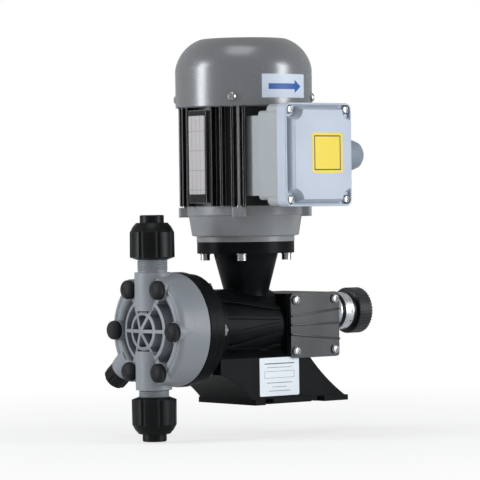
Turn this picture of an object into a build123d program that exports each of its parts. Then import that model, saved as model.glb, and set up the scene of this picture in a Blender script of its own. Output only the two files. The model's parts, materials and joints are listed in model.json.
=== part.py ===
from build123d import *
import os
from math import atan2, cos, degrees, pi, radians, sin, sqrt

# Diaphragm metering pump with a flange motor, all in millimetres.
# X runs along the pump axis: the liquid end is at -X and the stroke knob at +X.
# Z is up, with the base on Z = 0. The origin lies on the base plane under the motor axis.

# ---- driving dimensions -------------------------------------------------------------
FIT = 0.03            # radial clearance of a shaft or bearing in its seat
RUN = 0.06            # radial clearance of a sliding or turning shaft
GAP = 0.3             # air between parts that never touch

PUMP_Z = 70.0         # height of the pump axis
CASING_TOP_Z = 148.3  # joint face between gear casing and motor

# base of the gear casing
FOOT_X0 = -24.7
FOOT_X1 = 86.5
FOOT_HALF_WIDTH = 41.4
FOOT_THICKNESS = 5.0
WEB_HALF_WIDTH = 38.0
WEB_SLOPE_Z = 43.0    # above this the flanks of the pedestal lean in to the barrel
NOTCH_X = (-8.3, 53.1)
NOTCH_WIDTH = 9.0
NOTCH_DEPTH = 8.0
FOOT_RELIEF = 1.4     # height of the shallow arch under each long edge
CORE_DEPTH = 22.0     # depth of the pockets under the base
CORE_RIB = 8.0        # rib left between those pockets
CORE_HALF_WIDTH = 30.0

# barrel and gear chamber of the casing
BARREL_R = 35.2
BARREL_WALL = 4.5
COLLAR_R = 38.6       # plain collar between the bolt flange and the ribs
COLLAR_X1 = -52.0
BARREL_X1 = 12.0      # the side ribs end here
RIB_HEIGHT = 2.6
RIB_WIDTH = 2.6
FLANGE_X0 = -75.5     # front face of the casing flange
FLANGE_X1 = -66.0
FLANGE_R = 50.0
GUIDE_WALL_X0 = -58.0
GUIDE_WALL_X1 = -50.0
CHEST_X0 = 17.0       # gear chest behind the side cover
CHEST_X1 = 80.0
CHEST_Z0 = 41.0
CHEST_TOP = 100.4
CHEST_HALF_WIDTH = 37.5
CHEST_CAVITY_HALF = 24.0
CHEST_WALL = 3.6

# neck under the motor
NECK_R0 = 21.0
NECK_Z0 = 104.0
NECK_R1 = 29.8
NECK_FLANGE_R = 44.7
NECK_FLANGE_T = 10.6
MOTOR_SCREW_PCD = 75.0
MOTOR_SPIGOT_R = 30.0
SPIGOT_DEPTH = 2.5
MOTOR_SHAFT_R = 5.5
MOTOR_SHAFT_OUT = 23.0

# side cover
COVER_X = 48.0
COVER_Z = 71.0
COVER_LENGTH = 58.4
COVER_HEIGHT = 59.8
COVER_T = 3.0
COVER_SCREW_SPACING = 46.8
GASKET_T = 0.5

# worm, wheel and eccentric
MODULE = 2.0
WORM_PITCH_R = 12.0
WORM_LENGTH = 30.0
WHEEL_TEETH = 24
WHEEL_WIDTH = 14.0
WHEEL_HUB_HALF = 14.6
ECCENTRICITY = 2.0
ECCENTRIC_R = 13.0
ECCENTRIC_Y0 = 15.0
ECCENTRIC_T = 7.0
CROSS_SHAFT_R = 6.0
CROSS_BEARING_R = 12.0
CROSS_BEARING_T = 6.0
CROSS_BEARING_Y = 26.5

# yoke, push rod and diaphragm
STROKE = 4.0
YOKE_Y0 = 15.5
YOKE_PLATE_T = 6.0
YOKE_RAIL = 4.6
YOKE_X0 = -27.0
YOKE_HEAD_T = 7.0
YOKE_TAIL_T = 6.0
PUSH_ROD_R = 8.0
BUSH_R = 12.0
SPRING_R = 14.0
SPRING_WIRE_R = 1.6
SPRING_TURNS = 4.0
DIAPHRAGM_R = 37.0
DIAPHRAGM_T = 2.4
INSERT_R = 20.0

# liquid end
HEAD_X1 = -84.0       # joint face against the backing ring
HEAD_DRUM_X = -103.0  # the drum ends here and the lobed front begins
HEAD_FRONT_X = -118.0
HEAD_DRUM_R = 51.4
HEAD_RIM_R = 47.6
BACKING_R = 52.0
BOLT_PCD = 85.2
BOLT_COUNT = 6
BOLT_R = 3.0
BOLT_BOSS_R = 9.4
BOSS_TAPER = 7.0
BOLT_CAP_R = 8.3
BOLT_CAP_T = 9.5
GRILLE_R1 = 16.0
GRILLE_R2 = 28.0
GRILLE_RIB = 3.2
GRILLE_CONE = 5.5     # the centre of the grille stands this far ahead of its rim
POCKET_DEPTH = 16.0
VALLEY = 3.4          # how far ahead of the drum the valley behind the rim is deepest
RIM_ROLL = 5.0        # radius of the rolled rim of the head

# valves, both on one vertical axis
VALVE_X = -108.7
PORT_R = 16.3
DISCHARGE_PORT_Z = 122.5
SUCTION_PORT_Z = 17.1
THREAD_R = 13.2
NECK_IN_NUT = 16.2    # threaded neck inside the coupling nut
NUT_LENGTH = 33.2
NUT_R = 20.2
NUT_LOBES = 8
DISCHARGE_NUT_Z = 133.8
SUCTION_NUT_Z = 10.8
CONNECTOR_R = 10.9
CONNECTOR_BORE_R = 7.5
CONNECTOR_OUT = 7.0
CONNECTOR_FLANGE_T = 4.0
SEAL_T = 1.2
CARTRIDGE_R = 9.4
CARTRIDGE_LENGTH = 21.0
BALL_R = 5.5
BALL_LIFT = 2.5
SEAT_BORE_R = 4.4
CARTRIDGE_SEAT_T = 3.0
PASSAGE_R = 4.0

# bleed valve on the far lower side of the head
BLEED_ANGLE = -35.0
BLEED_X = -103.4
BLEED_BOSS_R = 12.0
BLEED_ROOT_R = 13.8
BLEED_BOSS_END = 63.0
BLEED_KNOB_R = 11.3
BLEED_KNOB_LENGTH = 16.0

# stroke adjuster
ADJUST_Z = 81.0
REAR_BOSS_R = 14.0
REAR_BOSS_X1 = 97.0
SLEEVE_R = 9.9
SLEEVE_FLANGE_X1 = 103.5
LOCK_RING_X1 = 107.0
LOCK_RING_R = 17.3
DIAL_X1 = 117.0
DIAL_R = 17.4
KNOB_X1 = 138.0
KNOB_R = 21.5
KNOB_RIM_X0 = 121.6
KNOB_RIDGES = 44
SPINDLE_R = 6.0

# motor
SHIELD_RING_R = 45.0
SHIELD_RING_T = 4.9
HOUSING_Z0 = 181.0
HOUSING_Z1 = 271.0
HOUSING_CORE_R = 52.4
HOUSING_BORE_R = 48.0
FIN_R = 60.2
FIN_T = 2.3
FIN_COUNT = 36
LUG_R = 61.0
LUG_WIDTH = 13.0
LUG_T = 9.0
TIE_ROD_R = 2.5
TIE_ROD_CIRCLE_R = 55.6
BEARING_R = 17.5
BEARING_T = 11.0
ROTOR_R = 24.0
AIR_GAP = 0.6
ROTOR_SHAFT_R = 7.5
CORE_STACK = 56.0
COWL_R = 62.8
COWL_WALL = 1.5
COWL_Z0 = 271.7
COWL_SHOULDER_Z = 306.0
COWL_TOP_Z = 334.9
COWL_SCREW_Z = 279.5
COWL_SLOTS = 24
FAN_BLADES = 8
FAN_R = 52.0
NAMEPLATE_PAD = (-19.0, 5.5)  # Y range of the flat pad on the -X side

# terminal box on the -Y side of the motor
BOX_Z = 226.0
BOX_NECK_HALF = 32.0
BOX_HALF_WIDTH = 38.0
BOX_HEIGHT = 80.0
BOX_NECK_HEIGHT = BOX_HEIGHT - 8
BOX_Y0 = -66.0
BOX_Y1 = -92.0
BOX_WALL = 3.0
LID_HALF_WIDTH = BOX_HALF_WIDTH + 1
LID_HEIGHT = BOX_HEIGHT + 2 * 6.2
LID_RIM_Y = -104.7
LID_FLOOR_Y = -102.0
LID_FACE_Y = -110.5
LID_BEAD = 1.8
LID_DRAFT = 3.3
LID_SCREW_X = LID_HALF_WIDTH - 6.2
LID_SCREW_Z = LID_HEIGHT / 2 - 6.0
GLAND_Y = -78.0
GLAND_R = 13.7
GLAND_OUT = 33.0
GLAND_BORE_R = 6.0

# fasteners and bearings
COVER_SCREW_R = 2.0
MOTOR_SCREW_R = 2.5
MOTOR_SCREW_HEAD_R = 4.3
WORM_BEARING_R = 11.0
WORM_BEARING_T = 7.0
WORM_FOOT_Z = 34.0
WORM_JOURNAL_R = 5.0
WORM_SLEEVE_R = 9.5
WORM_ROOM_R = 15.0
UPPER_BEARING_R = 19.0
UPPER_BEARING_Z = 108.0
UPPER_BEARING_T = 9.0

BOLT_NUT_T = 5.0
BOLT_NUT_R = 5.7
BOLT_HEAD_R = 5.2
BOLT_HEAD_T = 4.0
BOLT_TAIL = 2.0
BLEED_STEM_R = 3.0
DIAL_JOURNAL_R = 13.0
KNOB_CAP_R = 15.0
SPINDLE_END_X = 128.0
TIE_ROD_TOP_Z = 277.0
COWL_SCREW_R = 1.9
FAN_TOP_Z = 313.0
LID_SCREW_R = 1.9
LID_GASKET_T = 0.8
GLAND_THREAD_R = 9.8
GLAND_HEX_T = 7.0
GLAND_INSIDE = 4.0
GLAND_IN_NUT = 8.0

# ---- values that follow ---------------------------------------------------------------
WHEEL_PITCH_R = MODULE * WHEEL_TEETH / 2
WHEEL_X = WORM_PITCH_R + WHEEL_PITCH_R
LEAD_ANGLE = degrees(atan2(MODULE, 2 * WORM_PITCH_R))
FLANGE_NECK_Z = CASING_TOP_Z - NECK_FLANGE_T
BOLT_CIRCLE_R = BOLT_PCD / 2
BOLT_ANGLES = [360 / BOLT_COUNT * i for i in range(BOLT_COUNT)]
LUG_ANGLES = [45, 135, 225, 315]
CAVITY_R = BARREL_R - BARREL_WALL
YOKE_Y1 = YOKE_Y0 + YOKE_PLATE_T
YOKE_WINDOW_X0 = WHEEL_X - ECCENTRIC_R - ECCENTRICITY - GAP
YOKE_WINDOW_X1 = WHEEL_X + ECCENTRIC_R + ECCENTRICITY + STROKE + GAP
YOKE_WINDOW_HALF = ECCENTRIC_R + ECCENTRICITY + GAP
YOKE_HALF_HEIGHT = YOKE_WINDOW_HALF + YOKE_RAIL
YOKE_TAIL_X0 = WHEEL_X + WHEEL_PITCH_R + MODULE + STROKE + 2 * GAP
YOKE_X1 = YOKE_TAIL_X0 + YOKE_TAIL_T
SPINDLE_TIP_X = YOKE_X1 + STROKE + GAP
LUG_Z0 = HOUSING_Z0 - 1 - LUG_T
TIE_ROD_Z0 = LUG_Z0 + 2
SHAFT_END_Z = CASING_TOP_Z - MOTOR_SHAFT_OUT
DRIVE_BEARING_Z = CASING_TOP_Z + 7.2
FAN_BEARING_Z = HOUSING_Z1 + 5.0
STACK_Z0 = (HOUSING_Z0 + HOUSING_Z1 - CORE_STACK) / 2
COVER_FACE_Y = -CHEST_HALF_WIDTH - GASKET_T
DISCHARGE_NECK_Z = DISCHARGE_NUT_Z + NECK_IN_NUT
SUCTION_NECK_Z = SUCTION_NUT_Z - NECK_IN_NUT
NUT_SHOULDER = NECK_IN_NUT + SEAL_T + CONNECTOR_FLANGE_T + 0.1
COWL_SCREW_ANGLES = [a - 4.25 for a in LUG_ANGLES]
GRILLE_REACH_Z = GRILLE_R1 + 2.0
INSERT_X0 = HEAD_X1 + 0.05 + DIAPHRAGM_T + 0.05
INSERT_X1 = INSERT_X0 + 6.0


# ---- shape helpers ----------------------------------------------------------------------
def box(x0, x1, y0, y1, z0, z1):
    centre = Pos((x0 + x1) / 2, (y0 + y1) / 2, (z0 + z1) / 2)
    return centre * Box(abs(x1 - x0), abs(y1 - y0), abs(z1 - z0))


def round_z(x, y, r, z0, z1):
    return Pos(x, y, (z0 + z1) / 2) * Cylinder(r, abs(z1 - z0))


def round_x(y, z, r, x0, x1):
    return Pos((x0 + x1) / 2, y, z) * Rot(0, 90, 0) * Cylinder(r, abs(x1 - x0))


def round_y(x, z, r, y0, y1):
    return Pos(x, (y0 + y1) / 2, z) * Rot(90, 0, 0) * Cylinder(r, abs(y1 - y0))


def turned_z(outline, x=0, y=0):
    """Solid of revolution about a vertical axis, from (radius, height) points."""
    face = Face(Wire.make_polygon([(r, 0, z) for r, z in outline], close=True))
    return Pos(x, y, 0) * revolve(face, Axis.Z)


def turned_x(outline, y=0, z=0):
    """Solid of revolution about an axis along X, from (station, radius) points."""
    face = Face(Wire.make_polygon([(x, 0, r) for x, r in outline], close=True))
    return Pos(0, y, z) * revolve(face, Axis.X)


def plate_y(sketch, y0, y1):
    """A sketch drawn in X and Z, extruded from y0 to y1."""
    return Pos(0, y1, 0) * extrude(Plane.XZ * sketch, amount=abs(y1 - y0))


def bolt_places(radius, angles, x, z=PUMP_Z):
    """Places on a circle about the pump axis; the angle starts at +Y and turns up."""
    return [(x, radius * cos(radians(a)), z + radius * sin(radians(a))) for a in angles]


def corner_places():
    """Screw corners of the side cover, as X and Z."""
    half = COVER_SCREW_SPACING / 2
    return [(COVER_X + i * half, COVER_Z + k * half) for i in (-1, 1) for k in (-1, 1)]


# ---- gear casing ------------------------------------------------------------------------
def pedestal():
    """Side profile of the pedestal with its two swept ends, and the foot plate under it."""
    neck_left = (-62.0, 29.0)
    neck_right = (CHEST_X0 + 27.0, CHEST_Z0)
    foot_left = (FOOT_X0, FOOT_THICKNESS - 1)
    foot_right = (FOOT_X1, FOOT_THICKNESS - 1)
    edges = [
        Line((FOOT_X0, 0), (FOOT_X1, 0)),
        Line((FOOT_X1, 0), foot_right),
        ThreePointArc(foot_right, (FOOT_X1 - 20.5, 19.2), neck_right),
        Line(neck_right, (neck_right[0], PUMP_Z)),
        Line((neck_right[0], PUMP_Z), (neck_left[0], PUMP_Z)),
        Line((neck_left[0], PUMP_Z), neck_left),
        ThreePointArc(neck_left, (FOOT_X0 - 15.0, 17.6), foot_left),
        Line(foot_left, (FOOT_X0, 0)),
    ]
    web = plate_y(make_face(edges), -WEB_HALF_WIDTH, WEB_HALF_WIDTH)
    for side in (-1, 1):
        slope = Polyline([
            (side * WEB_HALF_WIDTH, WEB_SLOPE_Z), (side * (WEB_HALF_WIDTH - 8), WEB_SLOPE_Z + 8.5),
            (side * (WEB_HALF_WIDTH - 16), PUMP_Z - 8), (side * (WEB_HALF_WIDTH - 16), PUMP_Z + 1),
            (side * (WEB_HALF_WIDTH + 1), PUMP_Z + 1), (side * (WEB_HALF_WIDTH + 1), WEB_SLOPE_Z)],
            close=True)
        above = extrude(Plane.YZ * make_face(slope), amount=CHEST_X0 - FLANGE_X1)
        web -= Pos(FLANGE_X1, 0, 0) * above
    foot = box(FOOT_X0, FOOT_X1, -FOOT_HALF_WIDTH, FOOT_HALF_WIDTH, 0, FOOT_THICKNESS)
    return web + foot


def foot_cuts():
    """Open notches, the shallow arches between them and the cored pockets underneath."""
    cuts = []
    for side in (-1, 1):
        end_y = side * (FOOT_HALF_WIDTH - NOTCH_DEPTH)
        for x in NOTCH_X:
            half = NOTCH_WIDTH / 2
            cuts.append(box(x - half, x + half, end_y, side * 60, -1, FOOT_THICKNESS))
            cuts.append(round_z(x, end_y, half, -1, FOOT_THICKNESS))
        arch = box(NOTCH_X[0], NOTCH_X[1], end_y, side * 60, -1, FOOT_RELIEF)
        cuts.append(arch)
        middle = (NOTCH_X[0] + NOTCH_X[1]) / 2
        for x0, x1 in ((FOOT_X0 + 8, middle - CORE_RIB / 2), (middle + CORE_RIB / 2, NOTCH_X[1] + 2)):
            y0 = side * CORE_RIB / 2
            cuts.append(box(x0, x1, y0, side * CORE_HALF_WIDTH, -1, CORE_DEPTH))
    return cuts


def side_ribs():
    """Five swept ribs on each flank of the barrel, standing off its skin."""
    starts = (97.5, 82.5, 67.5, 54.0, 39.0)
    ends = (89.0, 80.0, 74.0, 65.2, 54.3)
    span = BARREL_X1 - COLLAR_X1
    bands = Sketch()
    for z0, z1 in zip(starts, ends):
        top = Spline(
            (COLLAR_X1 - 1, z0), (COLLAR_X1 + span * 0.5, (z0 + z1) / 2), (BARREL_X1, z1),
            tangents=((1, 0), (1, 0)), tangent_scalars=(0.8, 0.8))
        low = Pos(0, -RIB_WIDTH) * top
        sides = [Line(top @ 0, low @ 0), Line(top @ 1, low @ 1)]
        bands += make_face([top, low] + sides)
    prisms = plate_y(bands, -COLLAR_R, COLLAR_R)
    skin = round_x(0, PUMP_Z, BARREL_R + RIB_HEIGHT, COLLAR_X1 - 1, BARREL_X1)
    return prisms & skin


def gear_casing():
    body = pedestal()
    body += round_x(0, PUMP_Z, BARREL_R, FLANGE_X1, CHEST_X0 + 2)
    body += round_x(0, PUMP_Z, COLLAR_R, FLANGE_X1, COLLAR_X1)
    body += round_x(0, PUMP_Z, FLANGE_R, FLANGE_X0, FLANGE_X1)
    body += side_ribs()
    chest = box(CHEST_X0, CHEST_X1, -CHEST_HALF_WIDTH, CHEST_HALF_WIDTH, CHEST_Z0, CHEST_TOP)
    body += fillet(chest.edges().filter_by(Axis.Y), 3.0)
    body += turned_z([
        (0, PUMP_Z), (NECK_R0 - 1, PUMP_Z), (NECK_R0, NECK_Z0), (NECK_R1, FLANGE_NECK_Z),
        (NECK_FLANGE_R, FLANGE_NECK_Z), (NECK_FLANGE_R, CASING_TOP_Z), (0, CASING_TOP_Z)])
    body += round_x(0, ADJUST_Z, REAR_BOSS_R, CHEST_X1 - 1, REAR_BOSS_X1)
    for cut in casing_cuts() + foot_cuts():
        body -= cut
    return body


def casing_cuts():
    """Gear chamber, bearing seats, bores and bolt holes of the casing."""
    wheel_room = WHEEL_PITCH_R + MODULE + 2 * GAP
    room_z0 = PUMP_Z - wheel_room
    cuts = [
        round_x(0, PUMP_Z, CAVITY_R, GUIDE_WALL_X1, CHEST_X0 + 4),
        box(8, CHEST_X1 - CHEST_WALL, -CHEST_CAVITY_HALF, CHEST_CAVITY_HALF,
            room_z0, PUMP_Z + wheel_room),
        round_x(0, PUMP_Z, CAVITY_R + 2, FLANGE_X0 - 1, GUIDE_WALL_X0),
        round_x(0, PUMP_Z, BUSH_R, GUIDE_WALL_X0 - 1, GUIDE_WALL_X1 + 1),
        round_y(WHEEL_X, PUMP_Z, CROSS_BEARING_R + FIT, 0, CROSS_BEARING_Y + CROSS_BEARING_T + FIT),
        round_x(0, ADJUST_Z, SLEEVE_R + FIT, CHEST_X1 - CHEST_WALL - 1, REAR_BOSS_X1 + 1),
    ]
    nut_room_x = FLANGE_X1 + BOLT_NUT_T + BOLT_TAIL + GAP
    cuts += neck_bores()
    cuts.append(cover_seat())
    cuts.append(cover_opening())
    for x, z in corner_places():
        cuts.append(round_y(x, z, COVER_SCREW_R, -CHEST_HALF_WIDTH - 1, -CHEST_HALF_WIDTH + 11))
    for x, y, z in bolt_places(BOLT_CIRCLE_R, BOLT_ANGLES, FLANGE_X0):
        cuts.append(round_x(y, z, BOLT_R + 0.2, FLANGE_X0 - 1, FLANGE_X1 + 1))
        cuts.append(round_x(y, z, BOLT_NUT_R + GAP, FLANGE_X1, nut_room_x))
    for a in LUG_ANGLES:
        x = MOTOR_SCREW_PCD / 2 * cos(radians(a))
        y = MOTOR_SCREW_PCD / 2 * sin(radians(a))
        cuts.append(round_z(x, y, MOTOR_SCREW_R + 0.2, FLANGE_NECK_Z - 1, CASING_TOP_Z + 1))
    return cuts


def neck_bores():
    """Stepped bore for the worm and its bearings, open at the motor face."""
    return [
        round_z(0, 0, WORM_BEARING_R + FIT, WORM_FOOT_Z, PUMP_Z),
        round_z(0, 0, WORM_ROOM_R, PUMP_Z, UPPER_BEARING_Z),
        round_z(0, 0, UPPER_BEARING_R + FIT, UPPER_BEARING_Z, CASING_TOP_Z + 1),
        round_z(0, 0, MOTOR_SPIGOT_R + RUN, CASING_TOP_Z - SPIGOT_DEPTH - GAP, CASING_TOP_Z + 1),
    ]


def cover_seat():
    """Flat machined seat of the side cover."""
    half_x = COVER_LENGTH / 2 + GAP
    half_z = COVER_HEIGHT / 2 + GAP
    return box(COVER_X - half_x, COVER_X + half_x, -FOOT_HALF_WIDTH, -CHEST_HALF_WIDTH,
               COVER_Z - half_z, COVER_Z + half_z)


def cover_opening():
    """Window under the side cover, with its corners left full for the screws."""
    half = COVER_SCREW_SPACING / 2 + 2.6
    window = Pos(COVER_X, COVER_Z) * Rectangle(2 * half, 2 * half)
    for x, z in corner_places():
        window -= Pos(x, z) * Circle(6.2)
    return plate_y(window, -CHEST_HALF_WIDTH - 1, -CHEST_CAVITY_HALF + 1)


def side_cover():
    """Plate with three raised ribs outside and a bearing boss inside."""
    face_y = COVER_FACE_Y - COVER_T
    outline = Pos(COVER_X, COVER_Z) * RectangleRounded(COVER_LENGTH, COVER_HEIGHT, 5.0)
    plate = plate_y(outline, face_y, COVER_FACE_Y)
    half = COVER_LENGTH / 2
    for left_z, right_z in ((11.0, 17.5), (3.0, 4.5), (-5.0, -7.5)):
        low = Line((COVER_X - half, COVER_Z + left_z), (COVER_X + half, COVER_Z + right_z))
        top = Pos(0, 1.8) * low
        rib = make_face([low, top, Line(low @ 0, top @ 0), Line(low @ 1, top @ 1)])
        plate += plate_y(rib, face_y - 1.3, face_y + 0.5)
    boss_end = -CROSS_BEARING_Y
    plate += round_y(WHEEL_X, PUMP_Z, CROSS_BEARING_R + 1.7, COVER_FACE_Y - 0.5, boss_end)
    seat_end = -(CROSS_BEARING_Y + CROSS_BEARING_T + FIT)
    plate -= round_y(WHEEL_X, PUMP_Z, CROSS_BEARING_R + FIT, seat_end, boss_end + 1)
    for x, z in corner_places():
        plate -= round_y(x, z, COVER_SCREW_R + 0.2, face_y - 2, 0)
    return plate


def side_cover_gasket():
    half = COVER_SCREW_SPACING / 2 + 2.6
    ring = Pos(COVER_X, COVER_Z) * RectangleRounded(COVER_LENGTH - 0.6, COVER_HEIGHT - 0.6, 4.7)
    window = Pos(COVER_X, COVER_Z) * Rectangle(2 * half, 2 * half)
    for x, z in corner_places():
        window -= Pos(x, z) * Circle(6.2)
        ring -= Pos(x, z) * Circle(COVER_SCREW_R + 0.2)
    return plate_y(ring - window, COVER_FACE_Y, -CHEST_HALF_WIDTH)


def pan_screw(head_r, head_t, shank_r, shank_length):
    """Pan head screw along Z: head above Z = 0, shank below."""
    screw = turned_z([(0, -shank_length), (shank_r, -shank_length), (shank_r, 0), (head_r, 0),
                      (head_r, head_t * 0.45), (head_r * 0.7, head_t * 0.9), (0, head_t)])
    slot = head_r * 1.2
    for angle in (0, 90):
        screw -= Rot(0, 0, angle) * Pos(0, 0, head_t) * Box(slot, head_r * 0.22, head_t)
    return screw


def socket_screw(head_r, head_t, shank_r, shank_length, key):
    """Socket head screw along Z: head above Z = 0, shank below."""
    screw = Pos(0, 0, head_t / 2) * Cylinder(head_r, head_t)
    screw += Pos(0, 0, -shank_length / 2) * Cylinder(shank_r, shank_length)
    recess = extrude(RegularPolygon(key / 2, 6, major_radius=False), amount=head_t)
    return screw - Pos(0, 0, head_t * 0.5) * recess


def side_cover_screws():
    screw = pan_screw(4.3, 3.2, COVER_SCREW_R, 13.0)
    face_y = COVER_FACE_Y - COVER_T
    return [Pos(x, face_y, z) * Rot(90, 0, 0) * screw for x, z in corner_places()]


def motor_flange_screws():
    """Screws and washers under the casing flange, driven upwards into the motor shield."""
    screw = socket_screw(MOTOR_SCREW_HEAD_R, 5.5, MOTOR_SCREW_R, NECK_FLANGE_T + 9.0, 4.0)
    screw += Pos(0, 0, -0.5) * (Cylinder(4.9, 1.0))
    parts = []
    for a in LUG_ANGLES:
        x = MOTOR_SCREW_PCD / 2 * cos(radians(a))
        y = MOTOR_SCREW_PCD / 2 * sin(radians(a))
        parts.append(Pos(x, y, FLANGE_NECK_Z - 1.0) * Rot(180, 0, 0) * screw)
    return parts


# ---- gear train ---------------------------------------------------------------------------
def bearing_z(x, y, bore, outer, z0, length):
    """Two bearing rings about a vertical axis with the cage band between them."""
    wall = (outer - bore) * 0.3
    band = turned_z([(bore, z0), (outer, z0), (outer, z0 + length), (bore, z0 + length)], x, y)
    for end in (z0, z0 + length):
        groove = turned_z([(bore + wall, end - 0.6), (outer - wall, end - 0.6),
                           (outer - wall, end + 0.6), (bore + wall, end + 0.6)], x, y)
        band -= groove
    return band


def worm_bearings():
    lower = bearing_z(0, 0, WORM_JOURNAL_R + FIT, WORM_BEARING_R, WORM_FOOT_Z + 2, WORM_BEARING_T)
    upper = bearing_z(0, 0, WORM_SLEEVE_R + FIT, UPPER_BEARING_R, UPPER_BEARING_Z,
                      UPPER_BEARING_T)
    return [lower, upper]


def worm():
    """Single start worm with a hollow sleeve above it that takes the motor shaft."""
    root_r = WORM_PITCH_R - 1.2 * MODULE
    half = WORM_LENGTH / 2
    z0 = PUMP_Z - half
    z1 = PUMP_Z + half
    socket_z = SHAFT_END_Z - 1.0
    core = turned_z([
        (0, WORM_FOOT_Z + 1), (WORM_JOURNAL_R, WORM_FOOT_Z + 1),
        (WORM_JOURNAL_R, WORM_FOOT_Z + 2 + WORM_BEARING_T), (root_r - 1.5, WORM_FOOT_Z + 11),
        (root_r, z0), (root_r, z1), (WORM_SLEEVE_R, z1 + 3), (WORM_SLEEVE_R, CASING_TOP_Z - 4),
        (MOTOR_SHAFT_R + FIT, CASING_TOP_Z - 4), (MOTOR_SHAFT_R + FIT, socket_z), (0, socket_z)])
    pitch = pi * MODULE
    root_half = pitch * 0.36
    tip_half = pitch * 0.14
    sunk = root_r - 0.4
    tip_r = WORM_PITCH_R + MODULE * 0.95
    turns = (WORM_LENGTH - pitch) / pitch
    path = Helix(pitch, turns * pitch, sunk)
    flank = Wire.make_polygon([
        (sunk, 0, -root_half), (tip_r, 0, -tip_half), (tip_r, 0, tip_half),
        (sunk, 0, root_half)], close=True)
    thread = sweep(Face(flank), path=path, is_frenet=True)
    start = PUMP_Z - turns * pitch / 2
    space_at_wheel = -360 * (0.5 + turns / 2)
    return core + Pos(0, 0, start) * Rot(0, 0, space_at_wheel) * thread


def worm_wheel():
    """Wheel with leaning teeth; its bronze rim and hub are one piece."""
    pitch_angle = 360 / WHEEL_TEETH
    root_r = WHEEL_PITCH_R - 1.25 * MODULE
    tip_r = WHEEL_PITCH_R + 0.9 * MODULE
    root_half = MODULE * 1.0
    tip_half = MODULE * 0.32
    tooth_face = make_face(Polyline(
        (-root_half, root_r - 0.8), (root_half, root_r - 0.8), (tip_half, tip_r),
        (-tip_half, tip_r), close=True))
    tooth = Rot(90, 0, 0) * extrude(tooth_face, amount=WHEEL_WIDTH / 2, both=True)
    tooth = Rot(0, 0, -LEAD_ANGLE) * tooth
    wheel = round_y(0, 0, root_r, -WHEEL_WIDTH / 2, WHEEL_WIDTH / 2)
    for side in (-1, 1):
        wheel -= (round_y(0, 0, root_r - 4, side * 4, side * 10)
                  - round_y(0, 0, 10.5, side * 4, side * 10))
    wheel += round_y(0, 0, 10.5, -WHEEL_HUB_HALF, WHEEL_HUB_HALF)
    for i in range(WHEEL_TEETH):
        wheel += Rot(0, i * pitch_angle, 0) * tooth
    wheel -= round_y(0, 0, CROSS_SHAFT_R + FIT, -20, 20)
    return Pos(WHEEL_X, 0, PUMP_Z) * wheel


def cross_shaft():
    end = CROSS_BEARING_Y + CROSS_BEARING_T - 0.5
    shaft = round_y(WHEEL_X, PUMP_Z, CROSS_SHAFT_R, -end, end)
    return chamfer(shaft.edges().filter_by(GeomType.CIRCLE), 0.5)


def eccentric_discs():
    discs = []
    for side in (-1, 1):
        y0 = side * ECCENTRIC_Y0
        y1 = side * (ECCENTRIC_Y0 + ECCENTRIC_T)
        disc = round_y(WHEEL_X + ECCENTRICITY, PUMP_Z, ECCENTRIC_R, y0, y1)
        discs.append(disc - round_y(WHEEL_X, PUMP_Z, CROSS_SHAFT_R + FIT, y0 * 0.5, y1 * 1.5))
    return discs


def cross_bearings():
    rings = []
    for side in (-1, 1):
        ring = bearing_z(0, 0, CROSS_SHAFT_R + FIT, CROSS_BEARING_R, 0, CROSS_BEARING_T)
        turned = Rot(-90 * side, 0, 0) * ring
        rings.append(Pos(WHEEL_X, side * CROSS_BEARING_Y, PUMP_Z) * turned)
    return rings


# ---- yoke, push rod and diaphragm -----------------------------------------------------------
def push_yoke():
    """Frame of two window plates that straddle worm and wheel, tied by head and tail."""
    x_head = YOKE_X0 + YOKE_HEAD_T
    outline = Pos((YOKE_X0 + YOKE_X1) / 2, PUMP_Z) * RectangleRounded(
        YOKE_X1 - YOKE_X0, 2 * YOKE_HALF_HEIGHT, 4.0)
    window = Pos((YOKE_WINDOW_X0 + YOKE_WINDOW_X1) / 2, PUMP_Z) * RectangleRounded(
        YOKE_WINDOW_X1 - YOKE_WINDOW_X0, 2 * YOKE_WINDOW_HALF, 3.0)
    lightening = Pos((x_head + YOKE_WINDOW_X0) / 2, PUMP_Z) * RectangleRounded(
        YOKE_WINDOW_X0 - x_head - 10, 2 * YOKE_WINDOW_HALF - 8, 4.0)
    plates = outline - window - lightening
    frame = plate_y(plates, YOKE_Y0, YOKE_Y1) + plate_y(plates, -YOKE_Y1, -YOKE_Y0)
    tie_half = YOKE_Y0 + 1.0
    frame += box(YOKE_X0, x_head, -tie_half, tie_half, PUMP_Z - 12, PUMP_Z + 12)
    frame += box(YOKE_TAIL_X0, YOKE_X1, -tie_half, tie_half, PUMP_Z - 10, ADJUST_Z + 7)
    frame -= round_x(0, PUMP_Z, PUSH_ROD_R - 2 + FIT, YOKE_X0 - 1, x_head + 1)
    return frame


def push_rod():
    """Rod from the yoke head to the diaphragm insert, with a shouldered tail."""
    rod = turned_x([
        (INSERT_X1, 0), (INSERT_X1, PUSH_ROD_R), (YOKE_X0, PUSH_ROD_R),
        (YOKE_X0, PUSH_ROD_R - 2), (YOKE_X0 + YOKE_HEAD_T + 1.5, PUSH_ROD_R - 2),
        (YOKE_X0 + YOKE_HEAD_T + 1.5, 0)], 0, PUMP_Z)
    return rod


def guide_bush():
    """Flanged bush in the front wall of the gear chamber."""
    return turned_x([
        (GUIDE_WALL_X0 - 2, PUSH_ROD_R + RUN), (GUIDE_WALL_X0 - 2, BUSH_R + 2.5),
        (GUIDE_WALL_X0, BUSH_R + 2.5), (GUIDE_WALL_X0, BUSH_R - FIT),
        (GUIDE_WALL_X1, BUSH_R - FIT), (GUIDE_WALL_X1, PUSH_ROD_R + RUN)], 0, PUMP_Z)


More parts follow.
